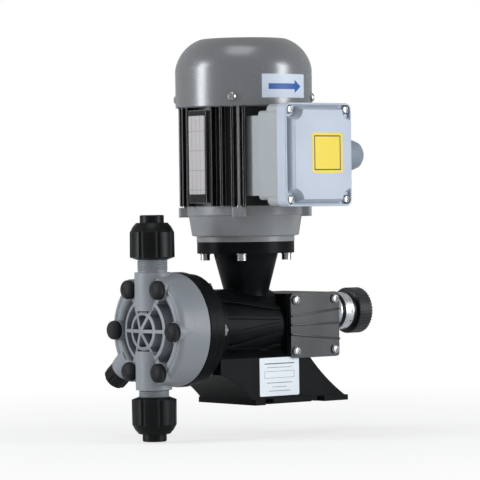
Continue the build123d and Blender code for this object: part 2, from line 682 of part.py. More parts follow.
def return_spring():
    """Coil spring between the guide wall and the head of the yoke."""
    x0 = GUIDE_WALL_X1 + SPRING_WIRE_R + 0.2
    x1 = YOKE_X0 - SPRING_WIRE_R - 0.2
    length = x1 - x0
    path = Helix(length / SPRING_TURNS, length, SPRING_R)
    section = Pos(SPRING_R, 0, 0) * Rot(90, 0, 0) * Circle(SPRING_WIRE_R)
    coil = sweep(section, path=path, is_frenet=True)
    return Pos(x0, 0, PUMP_Z) * Rot(0, 90, 0) * coil


def diaphragm():
    """Rubber disc with a moulded ring bead, clamped between head and backing ring."""
    x0 = HEAD_X1 + 0.05
    x1 = x0 + DIAPHRAGM_T
    return turned_x([
        (x0, 0), (x0, DIAPHRAGM_R), (x1, DIAPHRAGM_R), (x1, DIAPHRAGM_R - 4),
        (x1 - 0.7, DIAPHRAGM_R - 5.5), (x1 - 0.7, INSERT_R + 2), (x1, INSERT_R + 0.5), (x1, 0)],
        0, PUMP_Z)


def diaphragm_insert():
    """Support disc behind the diaphragm, on the end of the push rod."""
    return turned_x([
        (INSERT_X0, 0), (INSERT_X0, INSERT_R), (INSERT_X0 + 2.5, INSERT_R),
        (INSERT_X1, PUSH_ROD_R + 3), (INSERT_X1, 0)], 0, PUMP_Z)


def backing_ring():
    """Black ring between casing and liquid end that carries the edge of the diaphragm."""
    ring = turned_x([
        (HEAD_X1, DIAPHRAGM_R - 5), (HEAD_X1, BACKING_R - 0.8), (HEAD_X1 + 0.8, BACKING_R),
        (FLANGE_X0 - 0.8, BACKING_R), (FLANGE_X0, BACKING_R - 0.8),
        (FLANGE_X0, CAVITY_R + 2), (HEAD_X1 + DIAPHRAGM_T + 0.8, DIAPHRAGM_R - 5)], 0, PUMP_Z)
    ring -= round_x(0, PUMP_Z, DIAPHRAGM_R + 0.2, HEAD_X1 - 1, HEAD_X1 + DIAPHRAGM_T + 0.1)
    for x, y, z in bolt_places(BOLT_CIRCLE_R, BOLT_ANGLES, HEAD_X1):
        ring -= round_x(y, z, BOLT_R + 0.2, HEAD_X1 - 1, FLANGE_X0 + 1)
    return ring


# ---- liquid end -----------------------------------------------------------------------------
def head_drum():
    """Drum of the head, necked in front to a rolled rim around the recess of the grille."""
    roll_x = HEAD_FRONT_X + RIM_ROLL + 1.6
    roll_r = HEAD_RIM_R - RIM_ROLL
    floor_x = HEAD_FRONT_X + POCKET_DEPTH
    rim_out = (roll_x, HEAD_RIM_R)
    rim_in = (roll_x, roll_r - RIM_ROLL)
    rim_top = (roll_x - RIM_ROLL, roll_r)
    edges = [
        Line((HEAD_X1, 0), (HEAD_X1, HEAD_DRUM_R)),
        Line((HEAD_X1, HEAD_DRUM_R), (HEAD_DRUM_X, HEAD_DRUM_R)),
        ThreePointArc((HEAD_DRUM_X, HEAD_DRUM_R), (HEAD_DRUM_X - VALLEY, HEAD_RIM_R - 0.6), rim_out),
        ThreePointArc(rim_out, rim_top, rim_in),
        Line(rim_in, (floor_x, GRILLE_R2 + 5)),
        Line((floor_x, GRILLE_R2 + 5), (floor_x, 0)),
        Line((floor_x, 0), (HEAD_X1, 0)),
    ]
    return spun_x(make_face(edges), 0, PUMP_Z)


def grille():
    """Conical spider in front: six spokes, two rings and open pockets between them."""
    rib = GRILLE_RIB / 2
    cone = turned_x([
        (HEAD_FRONT_X + POCKET_DEPTH + 1, 0), (HEAD_FRONT_X + POCKET_DEPTH + 1, GRILLE_R2 + rib),
        (HEAD_FRONT_X, GRILLE_R2 + rib), (HEAD_FRONT_X - GRILLE_CONE, 0)], 0, PUMP_Z)
    openings = Circle(GRILLE_R2 - rib) - (Circle(GRILLE_R1 + rib) - Circle(GRILLE_R1 - rib))
    for angle in (0, 60, 120):
        openings -= Rot(0, 0, angle) * Rectangle(3 * GRILLE_R2, GRILLE_RIB)
    return cone - along_x(openings, HEAD_FRONT_X - 2 * GRILLE_CONE, HEAD_FRONT_X + POCKET_DEPTH)


def bolt_boss():
    """Boss of one bolt at +Y of the pump axis, ending in a pointed ridge on the drum."""
    start_x = HEAD_DRUM_X - BOSS_TAPER
    tip_r = 0.8
    wide = Plane.YZ * Circle(BOLT_BOSS_R)
    tip = Plane.YZ * Circle(tip_r)
    ridge = loft([Pos(start_x, BOLT_CIRCLE_R, 0) * wide.face(),
                  Pos(HEAD_DRUM_X - 0.3, HEAD_DRUM_R - tip_r, 0) * tip.face()])
    core = round_x(BOLT_CIRCLE_R, 0, BOLT_R + 3, start_x, HEAD_DRUM_X + 1)
    return round_x(BOLT_CIRCLE_R, 0, BOLT_BOSS_R, HEAD_FRONT_X, start_x) + ridge + core


def along_x(sketch, x0, x1):
    """A sketch drawn in Y and Z about the pump axis, extruded from x0 to x1."""
    return Pos(x0, 0, PUMP_Z) * extrude(Plane.YZ * sketch, amount=x1 - x0)


def spun_x(sketch, y, z):
    """A half profile drawn as X and radius, turned about an axis along X."""
    return Pos(0, y, z) * revolve(Plane.XZ * sketch, Axis.X)


def bleed_place(radius):
    """Centre of the bleed valve at a distance from the pump axis."""
    angle = radians(BLEED_ANGLE)
    return (BLEED_X, radius * cos(angle), PUMP_Z + radius * sin(angle))


def bleed_cylinder(r, start, end):
    """Cylinder on the bleed axis; start and end are distances from the pump axis."""
    middle = bleed_place((start + end) / 2)
    return Pos(*middle) * Rot(BLEED_ANGLE - 90, 0, 0) * Cylinder(r, end - start)


def pump_head():
    body = head_drum() + grille()
    for angle in BOLT_ANGLES:
        body += Pos(0, 0, PUMP_Z) * Rot(angle, 0, 0) * bolt_boss()
    for angle in (60, 120, 240, 300):
        web = Rot(0, 0, angle) * Pos(GRILLE_R2 + 3.5, 0) * Rectangle(9, 2 * GRILLE_RIB)
        body += along_x(web, HEAD_FRONT_X + 0.6, HEAD_FRONT_X + POCKET_DEPTH + 1)
    body += round_z(VALVE_X, 0, PORT_R, PUMP_Z + GRILLE_REACH_Z, DISCHARGE_PORT_Z)
    body += round_z(VALVE_X, 0, PORT_R, SUCTION_PORT_Z, PUMP_Z - GRILLE_REACH_Z)
    body += round_z(VALVE_X, 0, THREAD_R, DISCHARGE_PORT_Z - 1, DISCHARGE_NECK_Z)
    body += round_z(VALVE_X, 0, THREAD_R, SUCTION_NECK_Z, SUCTION_PORT_Z + 1)
    root = BOLT_CIRCLE_R - 2
    cone = Cone(BLEED_ROOT_R, BLEED_BOSS_R, BLEED_BOSS_END - root)
    body += Pos(*bleed_place((BLEED_BOSS_END + root) / 2)) * Rot(BLEED_ANGLE - 90, 0, 0) * cone
    for cut in head_cuts():
        body -= cut
    return body


def head_cuts():
    """Diaphragm chamber, flow passages, valve bores, bleed bore and bolt holes."""
    level = GRILLE_R1 + 8.0
    chamber = turned_x([
        (HEAD_X1 + 1, 0), (HEAD_X1 + 1, DIAPHRAGM_R - 4), (HEAD_X1, DIAPHRAGM_R - 4),
        (HEAD_X1 - STROKE - 2, INSERT_R + 4), (HEAD_X1 - STROKE - 2, 0)], 0, PUMP_Z)
    suction_top = SUCTION_NECK_Z + CARTRIDGE_LENGTH
    discharge_foot = DISCHARGE_NECK_Z - CARTRIDGE_LENGTH
    cuts = [
        chamber,
        round_z(VALVE_X, 0, CARTRIDGE_R + FIT, SUCTION_NECK_Z - 1, suction_top),
        round_z(VALVE_X, 0, CARTRIDGE_R + FIT, discharge_foot, DISCHARGE_NECK_Z + 1),
        round_z(VALVE_X, 0, PASSAGE_R, suction_top - 1, PUMP_Z - level),
        round_z(VALVE_X, 0, PASSAGE_R, PUMP_Z + level, discharge_foot + 1),
        round_x(0, PUMP_Z - level, PASSAGE_R, VALVE_X, HEAD_X1 + 1),
        round_x(0, PUMP_Z + level, PASSAGE_R, VALVE_X, HEAD_X1 + 1),
        bleed_cylinder(BLEED_STEM_R + RUN, BLEED_BOSS_END - 14, BLEED_BOSS_END + 1),
    ]
    for x, y, z in bolt_places(BOLT_CIRCLE_R, BOLT_ANGLES, HEAD_X1):
        cuts.append(round_x(y, z, BOLT_R + 0.2, HEAD_FRONT_X - 1, HEAD_X1 + 1))
    return cuts


def head_bolts():
    """Hexagon bolts from the front of the head to the nuts behind the casing flange."""
    tail_x = FLANGE_X1 + BOLT_NUT_T + BOLT_TAIL
    parts = []
    for x, y, z in bolt_places(BOLT_CIRCLE_R, BOLT_ANGLES, HEAD_FRONT_X):
        head = along_x(RegularPolygon(BOLT_HEAD_R, 6), HEAD_FRONT_X - BOLT_HEAD_T, HEAD_FRONT_X)
        bolt = Pos(0, y, z - PUMP_Z) * head + round_x(y, z, BOLT_R, HEAD_FRONT_X - 1, tail_x)
        parts.append(bolt)
    return parts


def head_bolt_caps():
    """Domed black caps over the bolt heads."""
    cap_x = HEAD_FRONT_X - BOLT_CAP_T
    room = BOLT_HEAD_R + GAP
    parts = []
    for x, y, z in bolt_places(BOLT_CIRCLE_R, BOLT_ANGLES, cap_x):
        cap = round_x(y, z, BOLT_CAP_R, cap_x, HEAD_FRONT_X)
        cap = fillet(cap.faces().sort_by(Axis.X)[0].edges(), BOLT_CAP_R * 0.6)
        parts.append(cap - round_x(y, z, room, HEAD_FRONT_X - BOLT_HEAD_T - GAP, HEAD_FRONT_X + 1))
    return parts


def head_bolt_nuts():
    parts = []
    for x, y, z in bolt_places(BOLT_CIRCLE_R, BOLT_ANGLES, FLANGE_X1):
        nut = along_x(RegularPolygon(BOLT_NUT_R, 6) - Circle(BOLT_R + FIT), FLANGE_X1,
                      FLANGE_X1 + BOLT_NUT_T)
        parts.append(Pos(0, y, z - PUMP_Z) * nut)
    return parts


def coupling_nut():
    """Union nut with eight lobes: open end at 0, its shoulder further up."""
    bore = THREAD_R + 0.1
    shell = turned_z([
        (bore, 0), (bore + 0.8, 0), (NUT_R, 2.3), (NUT_R - 0.2, 24.7), (NUT_R - 2.8, 29.5),
        (14.2, NUT_LENGTH), (CONNECTOR_R + 0.15, NUT_LENGTH), (CONNECTOR_R + 0.15, NUT_SHOULDER),
        (bore, NUT_SHOULDER)])
    for i in range(NUT_LOBES):
        angle = radians((i + 0.5) * 360 / NUT_LOBES)
        reach = NUT_R + 1.0
        shell -= round_z(reach * cos(angle), reach * sin(angle), 2.6, 1.0, 25.5)
    return shell


def connector():
    """Pipe connector with its flange at 0 and its open socket outwards."""
    out = NUT_LENGTH - NUT_SHOULDER + CONNECTOR_FLANGE_T + CONNECTOR_OUT
    return turned_z([
        (CONNECTOR_BORE_R - 2.5, 0), (THREAD_R - 0.3, 0), (THREAD_R - 0.3, CONNECTOR_FLANGE_T),
        (CONNECTOR_R, CONNECTOR_FLANGE_T), (CONNECTOR_R, out - 0.8), (CONNECTOR_R - 0.8, out),
        (CONNECTOR_BORE_R, out), (CONNECTOR_BORE_R, CONNECTOR_FLANGE_T),
        (CONNECTOR_BORE_R - 2.5, CONNECTOR_FLANGE_T)])


def valve_cartridge():
    """Ball cage with its seat at the foot and a stop at the top."""
    ball_top = CARTRIDGE_SEAT_T + seated_ball() + BALL_R + BALL_LIFT + 0.15
    room = BALL_R + 0.8
    return turned_z([
        (SEAT_BORE_R, 0), (CARTRIDGE_R, 0), (CARTRIDGE_R, CARTRIDGE_LENGTH),
        (PASSAGE_R - 0.5, CARTRIDGE_LENGTH), (PASSAGE_R - 0.5, ball_top), (room, ball_top),
        (room, CARTRIDGE_SEAT_T), (SEAT_BORE_R, CARTRIDGE_SEAT_T)])


def seated_ball():
    """Height of the centre of a ball above the edge of its seat."""
    return sqrt(BALL_R ** 2 - SEAT_BORE_R ** 2) + 0.04


def valve_ball(foot_z):
    return Pos(VALVE_X, 0, foot_z + CARTRIDGE_SEAT_T + seated_ball()) * Sphere(BALL_R)


def valve_seals():
    seal = turned_z([(CARTRIDGE_R, 0), (THREAD_R - 0.4, 0), (THREAD_R - 0.4, SEAL_T),
                     (CARTRIDGE_R, SEAL_T)], VALVE_X)
    return [Pos(0, 0, DISCHARGE_NECK_Z) * seal, Pos(0, 0, SUCTION_NECK_Z - SEAL_T) * seal]


def upwards(piece, z):
    """Place a valve part at a height, pointing up."""
    return Pos(VALVE_X, 0, z) * piece


def downwards(piece, z):
    """Place a valve part at a height, pointing down."""
    return Pos(VALVE_X, 0, z) * Rot(180, 0, 0) * piece


def bleed_knob():
    """Lobed knob and stem of the bleed valve, drawn up and then laid on its axis."""
    knob = Pos(0, 0, BLEED_KNOB_LENGTH / 2) * Cylinder(BLEED_KNOB_R, BLEED_KNOB_LENGTH)
    knob = chamfer(knob.edges().filter_by(GeomType.CIRCLE), 1.0)
    for i in range(10):
        angle = radians(i * 36)
        reach = BLEED_KNOB_R + 1.0
        knob -= round_z(reach * cos(angle), reach * sin(angle), 2.0, 2.5, BLEED_KNOB_LENGTH + 1)
    knob += Pos(0, 0, -6) * Cylinder(BLEED_STEM_R, 12.5)
    place = bleed_place(BLEED_BOSS_END + GAP)
    return Pos(*place) * Rot(BLEED_ANGLE - 90, 0, 0) * Rot(0, 0, 12) * knob


# ---- stroke adjuster --------------------------------------------------------------------------
def adjuster_sleeve():
    """Metal sleeve in the rear boss with a conical flange and the journal of the dial."""
    bore = SPINDLE_R + RUN
    journal = DIAL_JOURNAL_R
    return turned_x([
        (CHEST_X1 - CHEST_WALL, bore), (CHEST_X1 - CHEST_WALL, SLEEVE_R),
        (REAR_BOSS_X1, SLEEVE_R), (REAR_BOSS_X1, LOCK_RING_R - 4.5),
        (SLEEVE_FLANGE_X1 - 1.5, LOCK_RING_R - 0.6), (SLEEVE_FLANGE_X1, LOCK_RING_R - 0.6),
        (SLEEVE_FLANGE_X1, journal), (DIAL_X1 - 1, journal), (DIAL_X1 - 1, bore)], 0, ADJUST_Z)


def lock_ring():
    inner = DIAL_JOURNAL_R + FIT
    return turned_x([
        (SLEEVE_FLANGE_X1, inner), (SLEEVE_FLANGE_X1, LOCK_RING_R), (LOCK_RING_X1, LOCK_RING_R),
        (LOCK_RING_X1, inner)], 0, ADJUST_Z)


def graduated_ring():
    inner = DIAL_JOURNAL_R + RUN
    x0 = LOCK_RING_X1 + GAP
    return turned_x([(x0, inner), (x0, DIAL_R), (DIAL_X1, DIAL_R), (DIAL_X1, inner)], 0, ADJUST_Z)


def adjusting_knob():
    """Ribbed hand knob, dished at its end, with the bore of the spindle."""
    rim_x1 = KNOB_X1 - 1.6
    bore = SPINDLE_R + RUN
    body = turned_x([
        (DIAL_X1, bore), (DIAL_X1, DIAL_R - 0.8), (KNOB_RIM_X0 - 0.8, DIAL_R - 0.4),
        (KNOB_RIM_X0, KNOB_R - 0.7), (rim_x1, KNOB_R - 0.7), (KNOB_X1, KNOB_R - 2.6),
        (KNOB_X1, KNOB_CAP_R + 0.1), (rim_x1, KNOB_CAP_R + 0.1), (rim_x1, 0),
        (SPINDLE_END_X + STROKE, 0), (SPINDLE_END_X + STROKE, bore)], 0, ADJUST_Z)
    ridges = Sketch()
    for place in PolarLocations(KNOB_R - 0.7, KNOB_RIDGES):
        ridges += place * Rectangle(1.4, 1.5)
    ridges = along_x(ridges, KNOB_RIM_X0 + 0.5, rim_x1)
    return body + Pos(0, 0, ADJUST_Z - PUMP_Z) * ridges


def knob_cap():
    return round_x(0, ADJUST_Z, KNOB_CAP_R, KNOB_X1 - 1.6, KNOB_X1 - 0.4)


def adjusting_spindle():
    rod = round_x(0, ADJUST_Z, SPINDLE_R, SPINDLE_TIP_X, SPINDLE_END_X)
    return chamfer(rod.edges().filter_by(GeomType.CIRCLE), 0.8)


# ---- motor --------------------------------------------------------------------------------------
def drive_end_shield():
    z0 = CASING_TOP_Z
    seat_z = DRIVE_BEARING_Z
    shield = turned_z([
        (9, z0 - SPIGOT_DEPTH), (MOTOR_SPIGOT_R, z0 - SPIGOT_DEPTH), (MOTOR_SPIGOT_R, z0),
        (SHIELD_RING_R, z0), (SHIELD_RING_R, z0 + SHIELD_RING_T), (49.1, z0 + SHIELD_RING_T + 0.8),
        (52.0, HOUSING_Z0 - 9), (53.2, HOUSING_Z0 - 8.4), (53.2, HOUSING_Z0),
        (46.5, HOUSING_Z0), (46.5, HOUSING_Z0 - 13), (20, seat_z + BEARING_T + 1.5),
        (BEARING_R + FIT, seat_z + BEARING_T + 1.5), (BEARING_R + FIT, seat_z), (9, seat_z)])
    for a in LUG_ANGLES:
        half = LUG_WIDTH / 2
        lug = Rot(0, 0, a) * box(49, LUG_R, -half, half, LUG_Z0, LUG_Z0 + LUG_T)
        shield += fillet(lug.edges().filter_by(Axis.Z), 2.5)
    for a in LUG_ANGLES:
        rod_room = round_z(TIE_ROD_CIRCLE_R, 0, TIE_ROD_R + FIT, TIE_ROD_Z0 - GAP, HOUSING_Z0 + 1)
        shield -= Rot(0, 0, a) * rod_room
        hole_top = CASING_TOP_Z + 9.5
        shield -= Rot(0, 0, a) * round_z(MOTOR_SCREW_PCD / 2, 0, MOTOR_SCREW_R + FIT, z0 - 1, hole_top)
    return shield


def stator_housing():
    """Finned tube with a smooth flank under the terminal box and a pad for a plate."""
    section = Circle(HOUSING_CORE_R)
    for i in range(FIN_COUNT):
        angle = i * 360 / FIN_COUNT
        tip = (FIN_R * cos(radians(angle)), FIN_R * sin(radians(angle)))
        under_box = tip[1] < 0 and abs(tip[0]) < BOX_NECK_HALF + 1
        under_pad = tip[0] < 0 and NAMEPLATE_PAD[0] < tip[1] < NAMEPLATE_PAD[1]
        if under_box or under_pad:
            continue
        fin = Pos((HOUSING_BORE_R + FIN_R) / 2 + 1, 0) * Rectangle(FIN_R - HOUSING_BORE_R - 2, FIN_T)
        section += Rot(0, 0, angle) * fin
    section -= Circle(HOUSING_BORE_R)
    tube = Pos(0, 0, HOUSING_Z0) * extrude(section, amount=HOUSING_Z1 - HOUSING_Z0)
    pad = box(-FIN_R - 0.4, -HOUSING_CORE_R + 2.5, *NAMEPLATE_PAD, HOUSING_Z0 + 3, HOUSING_Z1 - 3)
    return tube + pad


def non_drive_shield():
    z0 = HOUSING_Z1
    seat_z = FAN_BEARING_Z
    top = seat_z + BEARING_T + 2
    shield = turned_z([
        (BEARING_R + FIT, z0), (58.5, z0), (58.5, z0 + 6), (BEARING_R + 5, z0 + 6),
        (BEARING_R + 4, top), (8.5, top), (8.5, seat_z + BEARING_T),
        (BEARING_R + FIT, seat_z + BEARING_T)])
    lug_out = COWL_R - COWL_WALL - GAP
    for a, b in zip(COWL_SCREW_ANGLES, LUG_ANGLES):
        lug = box(BEARING_R + 30, lug_out, -8, 8, z0, COWL_SCREW_Z + 6)
        shield += Rot(0, 0, a) * (lug & round_z(0, 0, lug_out, z0, COWL_SCREW_Z + 6))
    for a, b in zip(COWL_SCREW_ANGLES, LUG_ANGLES):
        rod_room = round_z(TIE_ROD_CIRCLE_R, 0, TIE_ROD_R + FIT, z0 - 1, TIE_ROD_TOP_Z)
        shield -= Rot(0, 0, b) * rod_room
        shield -= Rot(0, 0, a) * round_x(0, COWL_SCREW_Z, COWL_SCREW_R + FIT, lug_out - 9, 70)
    return shield


def tie_rods():
    rod = round_z(TIE_ROD_CIRCLE_R, 0, TIE_ROD_R, TIE_ROD_Z0, TIE_ROD_TOP_Z)
    return [Rot(0, 0, a) * rod for a in LUG_ANGLES]


def stator_core():
    r0 = ROTOR_R + AIR_GAP
    z1 = STACK_Z0 + CORE_STACK
    r1 = HOUSING_BORE_R - FIT
    return turned_z([(r0, STACK_Z0), (r1, STACK_Z0), (r1, z1), (r0, z1)])


def stator_windings():
    """Wound ends of the stator, one each side of its core."""
    hanks = []
    for z, out in ((STACK_Z0, -1), (STACK_Z0 + CORE_STACK, 1)):
        hanks.append(turned_z([
            (ROTOR_R + 4, z), (HOUSING_BORE_R - 4, z), (HOUSING_BORE_R - 4, z + out * 8),
            (HOUSING_BORE_R - 7, z + out * 11), (ROTOR_R + 7, z + out * 11),
            (ROTOR_R + 4, z + out * 8)]))
    return hanks


def motor_bearings():
    bore = ROTOR_SHAFT_R + FIT
    return [bearing_z(0, 0, bore, BEARING_R, z, BEARING_T) for z in (DRIVE_BEARING_Z, FAN_BEARING_Z)]


def motor_shaft():
    shoulder = DRIVE_BEARING_Z - 1
    fan_seat = FAN_BEARING_Z + BEARING_T + 0.5
    shaft = turned_z([
        (0, SHAFT_END_Z), (MOTOR_SHAFT_R, SHAFT_END_Z), (MOTOR_SHAFT_R, shoulder),
        (ROTOR_SHAFT_R, shoulder), (ROTOR_SHAFT_R, fan_seat), (6, fan_seat), (6, FAN_TOP_Z + 1.5),
        (0, FAN_TOP_Z + 1.5)])
    return shaft


def rotor_core():
    """Laminated rotor with its cast end rings."""
    r0 = ROTOR_SHAFT_R + FIT
    z0 = STACK_Z0
    z1 = STACK_Z0 + CORE_STACK
    return turned_z([
        (r0, z0), (14, z0), (14, z0 - 4), (22, z0 - 4), (22, z0), (ROTOR_R, z0), (ROTOR_R, z1),
        (22, z1), (22, z1 + 4), (14, z1 + 4), (14, z1), (r0, z1)])


def cooling_fan():
    z0 = FAN_BEARING_Z + BEARING_T + 3.5
    fan = turned_z([(6 + FIT, z0), (30, z0), (30, z0 + 2), (12, z0 + 4), (11, FAN_TOP_Z),
                    (6 + FIT, FAN_TOP_Z)])
    for i in range(FAN_BLADES):
        blade = box(9, FAN_R, -1.1, 1.1, z0 + 0.5, FAN_TOP_Z + 4)
        fan += Rot(0, 0, i * 360 / FAN_BLADES) * blade
    return fan - round_z(0, 0, 6 + FIT, z0 - 1, FAN_TOP_Z + 6)


def cowl_profile(inset):
    """Half section of the cowl's outside, moved inwards by a wall."""
    r = COWL_R - inset
    top = COWL_TOP_Z - inset
    rise = top - COWL_SHOULDER_Z
    return [
        Line((0, COWL_Z0), (r, COWL_Z0)),
        Line((r, COWL_Z0), (r, COWL_SHOULDER_Z)),
        ThreePointArc((r, COWL_SHOULDER_Z), (r - 9.6, COWL_SHOULDER_Z + rise * 0.67),
                      (r - 23, top - 1.0)),
        Line((r - 23, top - 1.0), (0, top)),
        Line((0, top), (0, COWL_Z0)),
    ]


def fan_cowl():
    """Deep drawn cowl with a ring of air slots in its crown."""
    outside = revolve(Plane.XZ * make_face(cowl_profile(0)), Axis.Z)
    inside = revolve(Plane.XZ * make_face(cowl_profile(COWL_WALL)), Axis.Z)
    cowl = outside - inside - round_z(0, 0, COWL_R - COWL_WALL, COWL_Z0 - 1, COWL_Z0 + 1)
    slots = Sketch()
    for i in range(COWL_SLOTS):
        slots += Rot(0, 0, i * 360 / COWL_SLOTS) * Pos(29, 0) * SlotOverall(20, 3.0)
    cowl -= Pos(0, 0, COWL_TOP_Z - 8) * extrude(slots, amount=12)
    for a in COWL_SCREW_ANGLES:
        cowl -= Rot(0, 0, a) * round_x(0, COWL_SCREW_Z, COWL_SCREW_R + 0.2, 50, 70)
    return cowl


def fan_cowl_screws():
    screw = pan_screw(3.9, 2.6, COWL_SCREW_R, COWL_WALL + 8)
    radial = Pos(COWL_R, 0, COWL_SCREW_Z) * Rot(0, 90, 0) * screw
    return [Rot(0, 0, a) * radial for a in COWL_SCREW_ANGLES]


# ---- terminal box ---------------------------------------------------------------------------------
def lid_screw_places():
    return [(i * LID_SCREW_X, BOX_Z + k * LID_SCREW_Z) for i in (-1, 1) for k in (-1, 1)]


def terminal_box_base():
    """Open box with a saddle neck against the motor and four screw posts."""
    outline = Pos(0, BOX_Z) * RectangleRounded(2 * BOX_HALF_WIDTH, BOX_HEIGHT, 4.0)
    inner = Pos(0, BOX_Z) * RectangleRounded(
        2 * (BOX_HALF_WIDTH - BOX_WALL), BOX_HEIGHT - 2 * BOX_WALL, 2.0)
    shell = plate_y(outline, BOX_Y1, BOX_Y0)
    half_neck = BOX_NECK_HEIGHT / 2
    shell += box(-BOX_NECK_HALF, BOX_NECK_HALF, BOX_Y0 - 1, -40, BOX_Z - half_neck, BOX_Z + half_neck)
    shell -= plate_y(inner, BOX_Y1 - 1, BOX_Y0 - BOX_WALL)
    for x, z in lid_screw_places():
        shell += round_y(x, z, 5.2, BOX_Y1, BOX_Y1 + 14)
    shell -= round_z(0, 0, HOUSING_CORE_R + RUN, 180, 280)
    shell -= round_y(0, BOX_Z, 11, BOX_Y0 - BOX_WALL - 1, -40)
    for x, z in lid_screw_places():
        shell -= round_y(x, z, LID_SCREW_R + FIT, BOX_Y1 - 1, BOX_Y1 + 11)
    gland_x0 = BOX_HALF_WIDTH - BOX_WALL - GLAND_INSIDE - GAP
    return shell - round_x(GLAND_Y, BOX_Z, GLAND_THREAD_R + FIT, gland_x0, BOX_HALF_WIDTH + 1)


def terminal_box_gasket():
    ring = Pos(0, BOX_Z) * RectangleRounded(2 * BOX_HALF_WIDTH, BOX_HEIGHT, 4.0)
    ring -= Pos(0, BOX_Z) * RectangleRounded(
        2 * (BOX_HALF_WIDTH - BOX_WALL), BOX_HEIGHT - 2 * BOX_WALL, 2.0)
    for x, z in lid_screw_places():
        ring += Pos(x, z) * Circle(5.2)
    for x, z in lid_screw_places():
        ring -= Pos(x, z) * Circle(LID_SCREW_R + 0.3)
    return plate_y(ring, BOX_Y1 - LID_GASKET_T, BOX_Y1)


def terminal_box_lid():
    """Moulded lid: beaded rim, raised panel with drafted sides and scalloped corners."""
    back_y = BOX_Y1 - LID_GASKET_T
    outline = Pos(0, BOX_Z) * RectangleRounded(2 * LID_HALF_WIDTH, LID_HEIGHT, 6.0)
    inside = Pos(0, BOX_Z) * RectangleRounded(
        2 * (LID_HALF_WIDTH - LID_BEAD), LID_HEIGHT - 2 * LID_BEAD, 6.0 - LID_BEAD)
    lid = plate_y(outline, LID_RIM_Y, back_y)
    lid = fillet(lid.faces().sort_by(Axis.Y)[0].edges(), LID_BEAD / 2 - 0.1)
    lid -= plate_y(inside, LID_RIM_Y - 1, LID_FLOOR_Y)
    rise = LID_FLOOR_Y - LID_FACE_Y
    panel = Rectangle(2 * (LID_HALF_WIDTH - 3.4), LID_HEIGHT - 6.0)
    for x, z in lid_screw_places():
        panel -= Pos(x, z - BOX_Z) * Circle(6.4)
    panel = fillet(panel.vertices(), 1.5)
    raised = extrude(panel, amount=rise, taper=degrees(atan2(LID_DRAFT, rise)))
    lid += Pos(0, LID_FLOOR_Y, BOX_Z) * Rot(90, 0, 0) * raised
    room = Pos(0, BOX_Z) * RectangleRounded(2 * LID_HALF_WIDTH - 18, LID_HEIGHT - 32, 4.0)
    lid -= plate_y(room, LID_FACE_Y + BOX_WALL, back_y + 1)
    for x, z in lid_screw_places():
        lid -= round_y(x, z, LID_SCREW_R + 0.2, LID_FLOOR_Y - 1, back_y + 1)
    return lid


def terminal_lid_screws():
    length = BOX_Y1 - LID_FLOOR_Y + 9.5
    screw = pan_screw(4.0, 3.0, LID_SCREW_R, length)
    return [Pos(x, LID_FLOOR_Y, z) * Rot(90, 0, 0) * screw for x, z in lid_screw_places()]


def terminal_block():
    """Moulded terminal board with two rows of raised stud seats."""
    y1 = BOX_Y0 - BOX_WALL
    board = box(-20, 20, y1 - 7, y1, BOX_Z - 17, BOX_Z + 17)
    for x, z in terminal_places():
        board += round_y(x, z, 4.6, y1 - 9, y1 - 6)
    for z in (-17, 17):
        board -= round_y(0, BOX_Z + z, 3.0, y1 - 8, y1 + 1)
    return board


def terminal_places():
    return [(x, BOX_Z + z) for x in (-13, 0, 13) for z in (-8, 8)]


def terminal_studs():
    y1 = BOX_Y0 - BOX_WALL - 9
    parts = []
    for x, z in terminal_places():
        nut = plate_y(Pos(x, z) * RegularPolygon(3.8, 6), y1 - 3, y1)
        parts.append(nut + round_y(x, z, 2.0, y1 - 7, y1 - 2))
    return parts


def cable_gland_body():
    x0 = BOX_HALF_WIDTH
    inner_x = x0 - BOX_WALL - GLAND_INSIDE
    outer_x = x0 + GLAND_HEX_T + GLAND_IN_NUT
    body = turned_x([
        (inner_x, GLAND_BORE_R + 1), (inner_x, GLAND_THREAD_R),
        (outer_x, GLAND_THREAD_R), (outer_x, GLAND_BORE_R + 1)], GLAND_Y, BOX_Z)
    hexagon = Rot(0, 0, 30) * RegularPolygon(GLAND_R, 6, major_radius=False)
    hexagon -= Circle(GLAND_THREAD_R - 1)
    collar = Pos(x0, GLAND_Y, BOX_Z) * extrude(Plane.YZ * hexagon, amount=GLAND_HEX_T)
    return body + collar


def cable_gland_nut():
    """Domed clamping nut with its sealing insert and the open cable bore."""
    x0 = BOX_HALF_WIDTH + GLAND_HEX_T + GAP
    x1 = BOX_HALF_WIDTH + GLAND_OUT
    inner = GLAND_THREAD_R + FIT
    seat = BOX_HALF_WIDTH + GLAND_HEX_T + GLAND_IN_NUT + GAP
    return turned_x([
        (x0, inner), (x0, GLAND_R - 0.6), (x0 + 1, GLAND_R), (x1 - 10, GLAND_R),
        (x1 - 5, GLAND_R - 1.6), (x1 - 1.5, GLAND_R - 5), (x1, GLAND_BORE_R + 0.6),
        (x1, GLAND_BORE_R), (seat, GLAND_BORE_R), (seat, inner)], GLAND_Y, BOX_Z)


# ---- write one file for each sub-part -----------------------------------------------------------------
SUCTION_FOOT = SUCTION_NECK_Z
DISCHARGE_FOOT = DISCHARGE_NECK_Z - CARTRIDGE_LENGTH

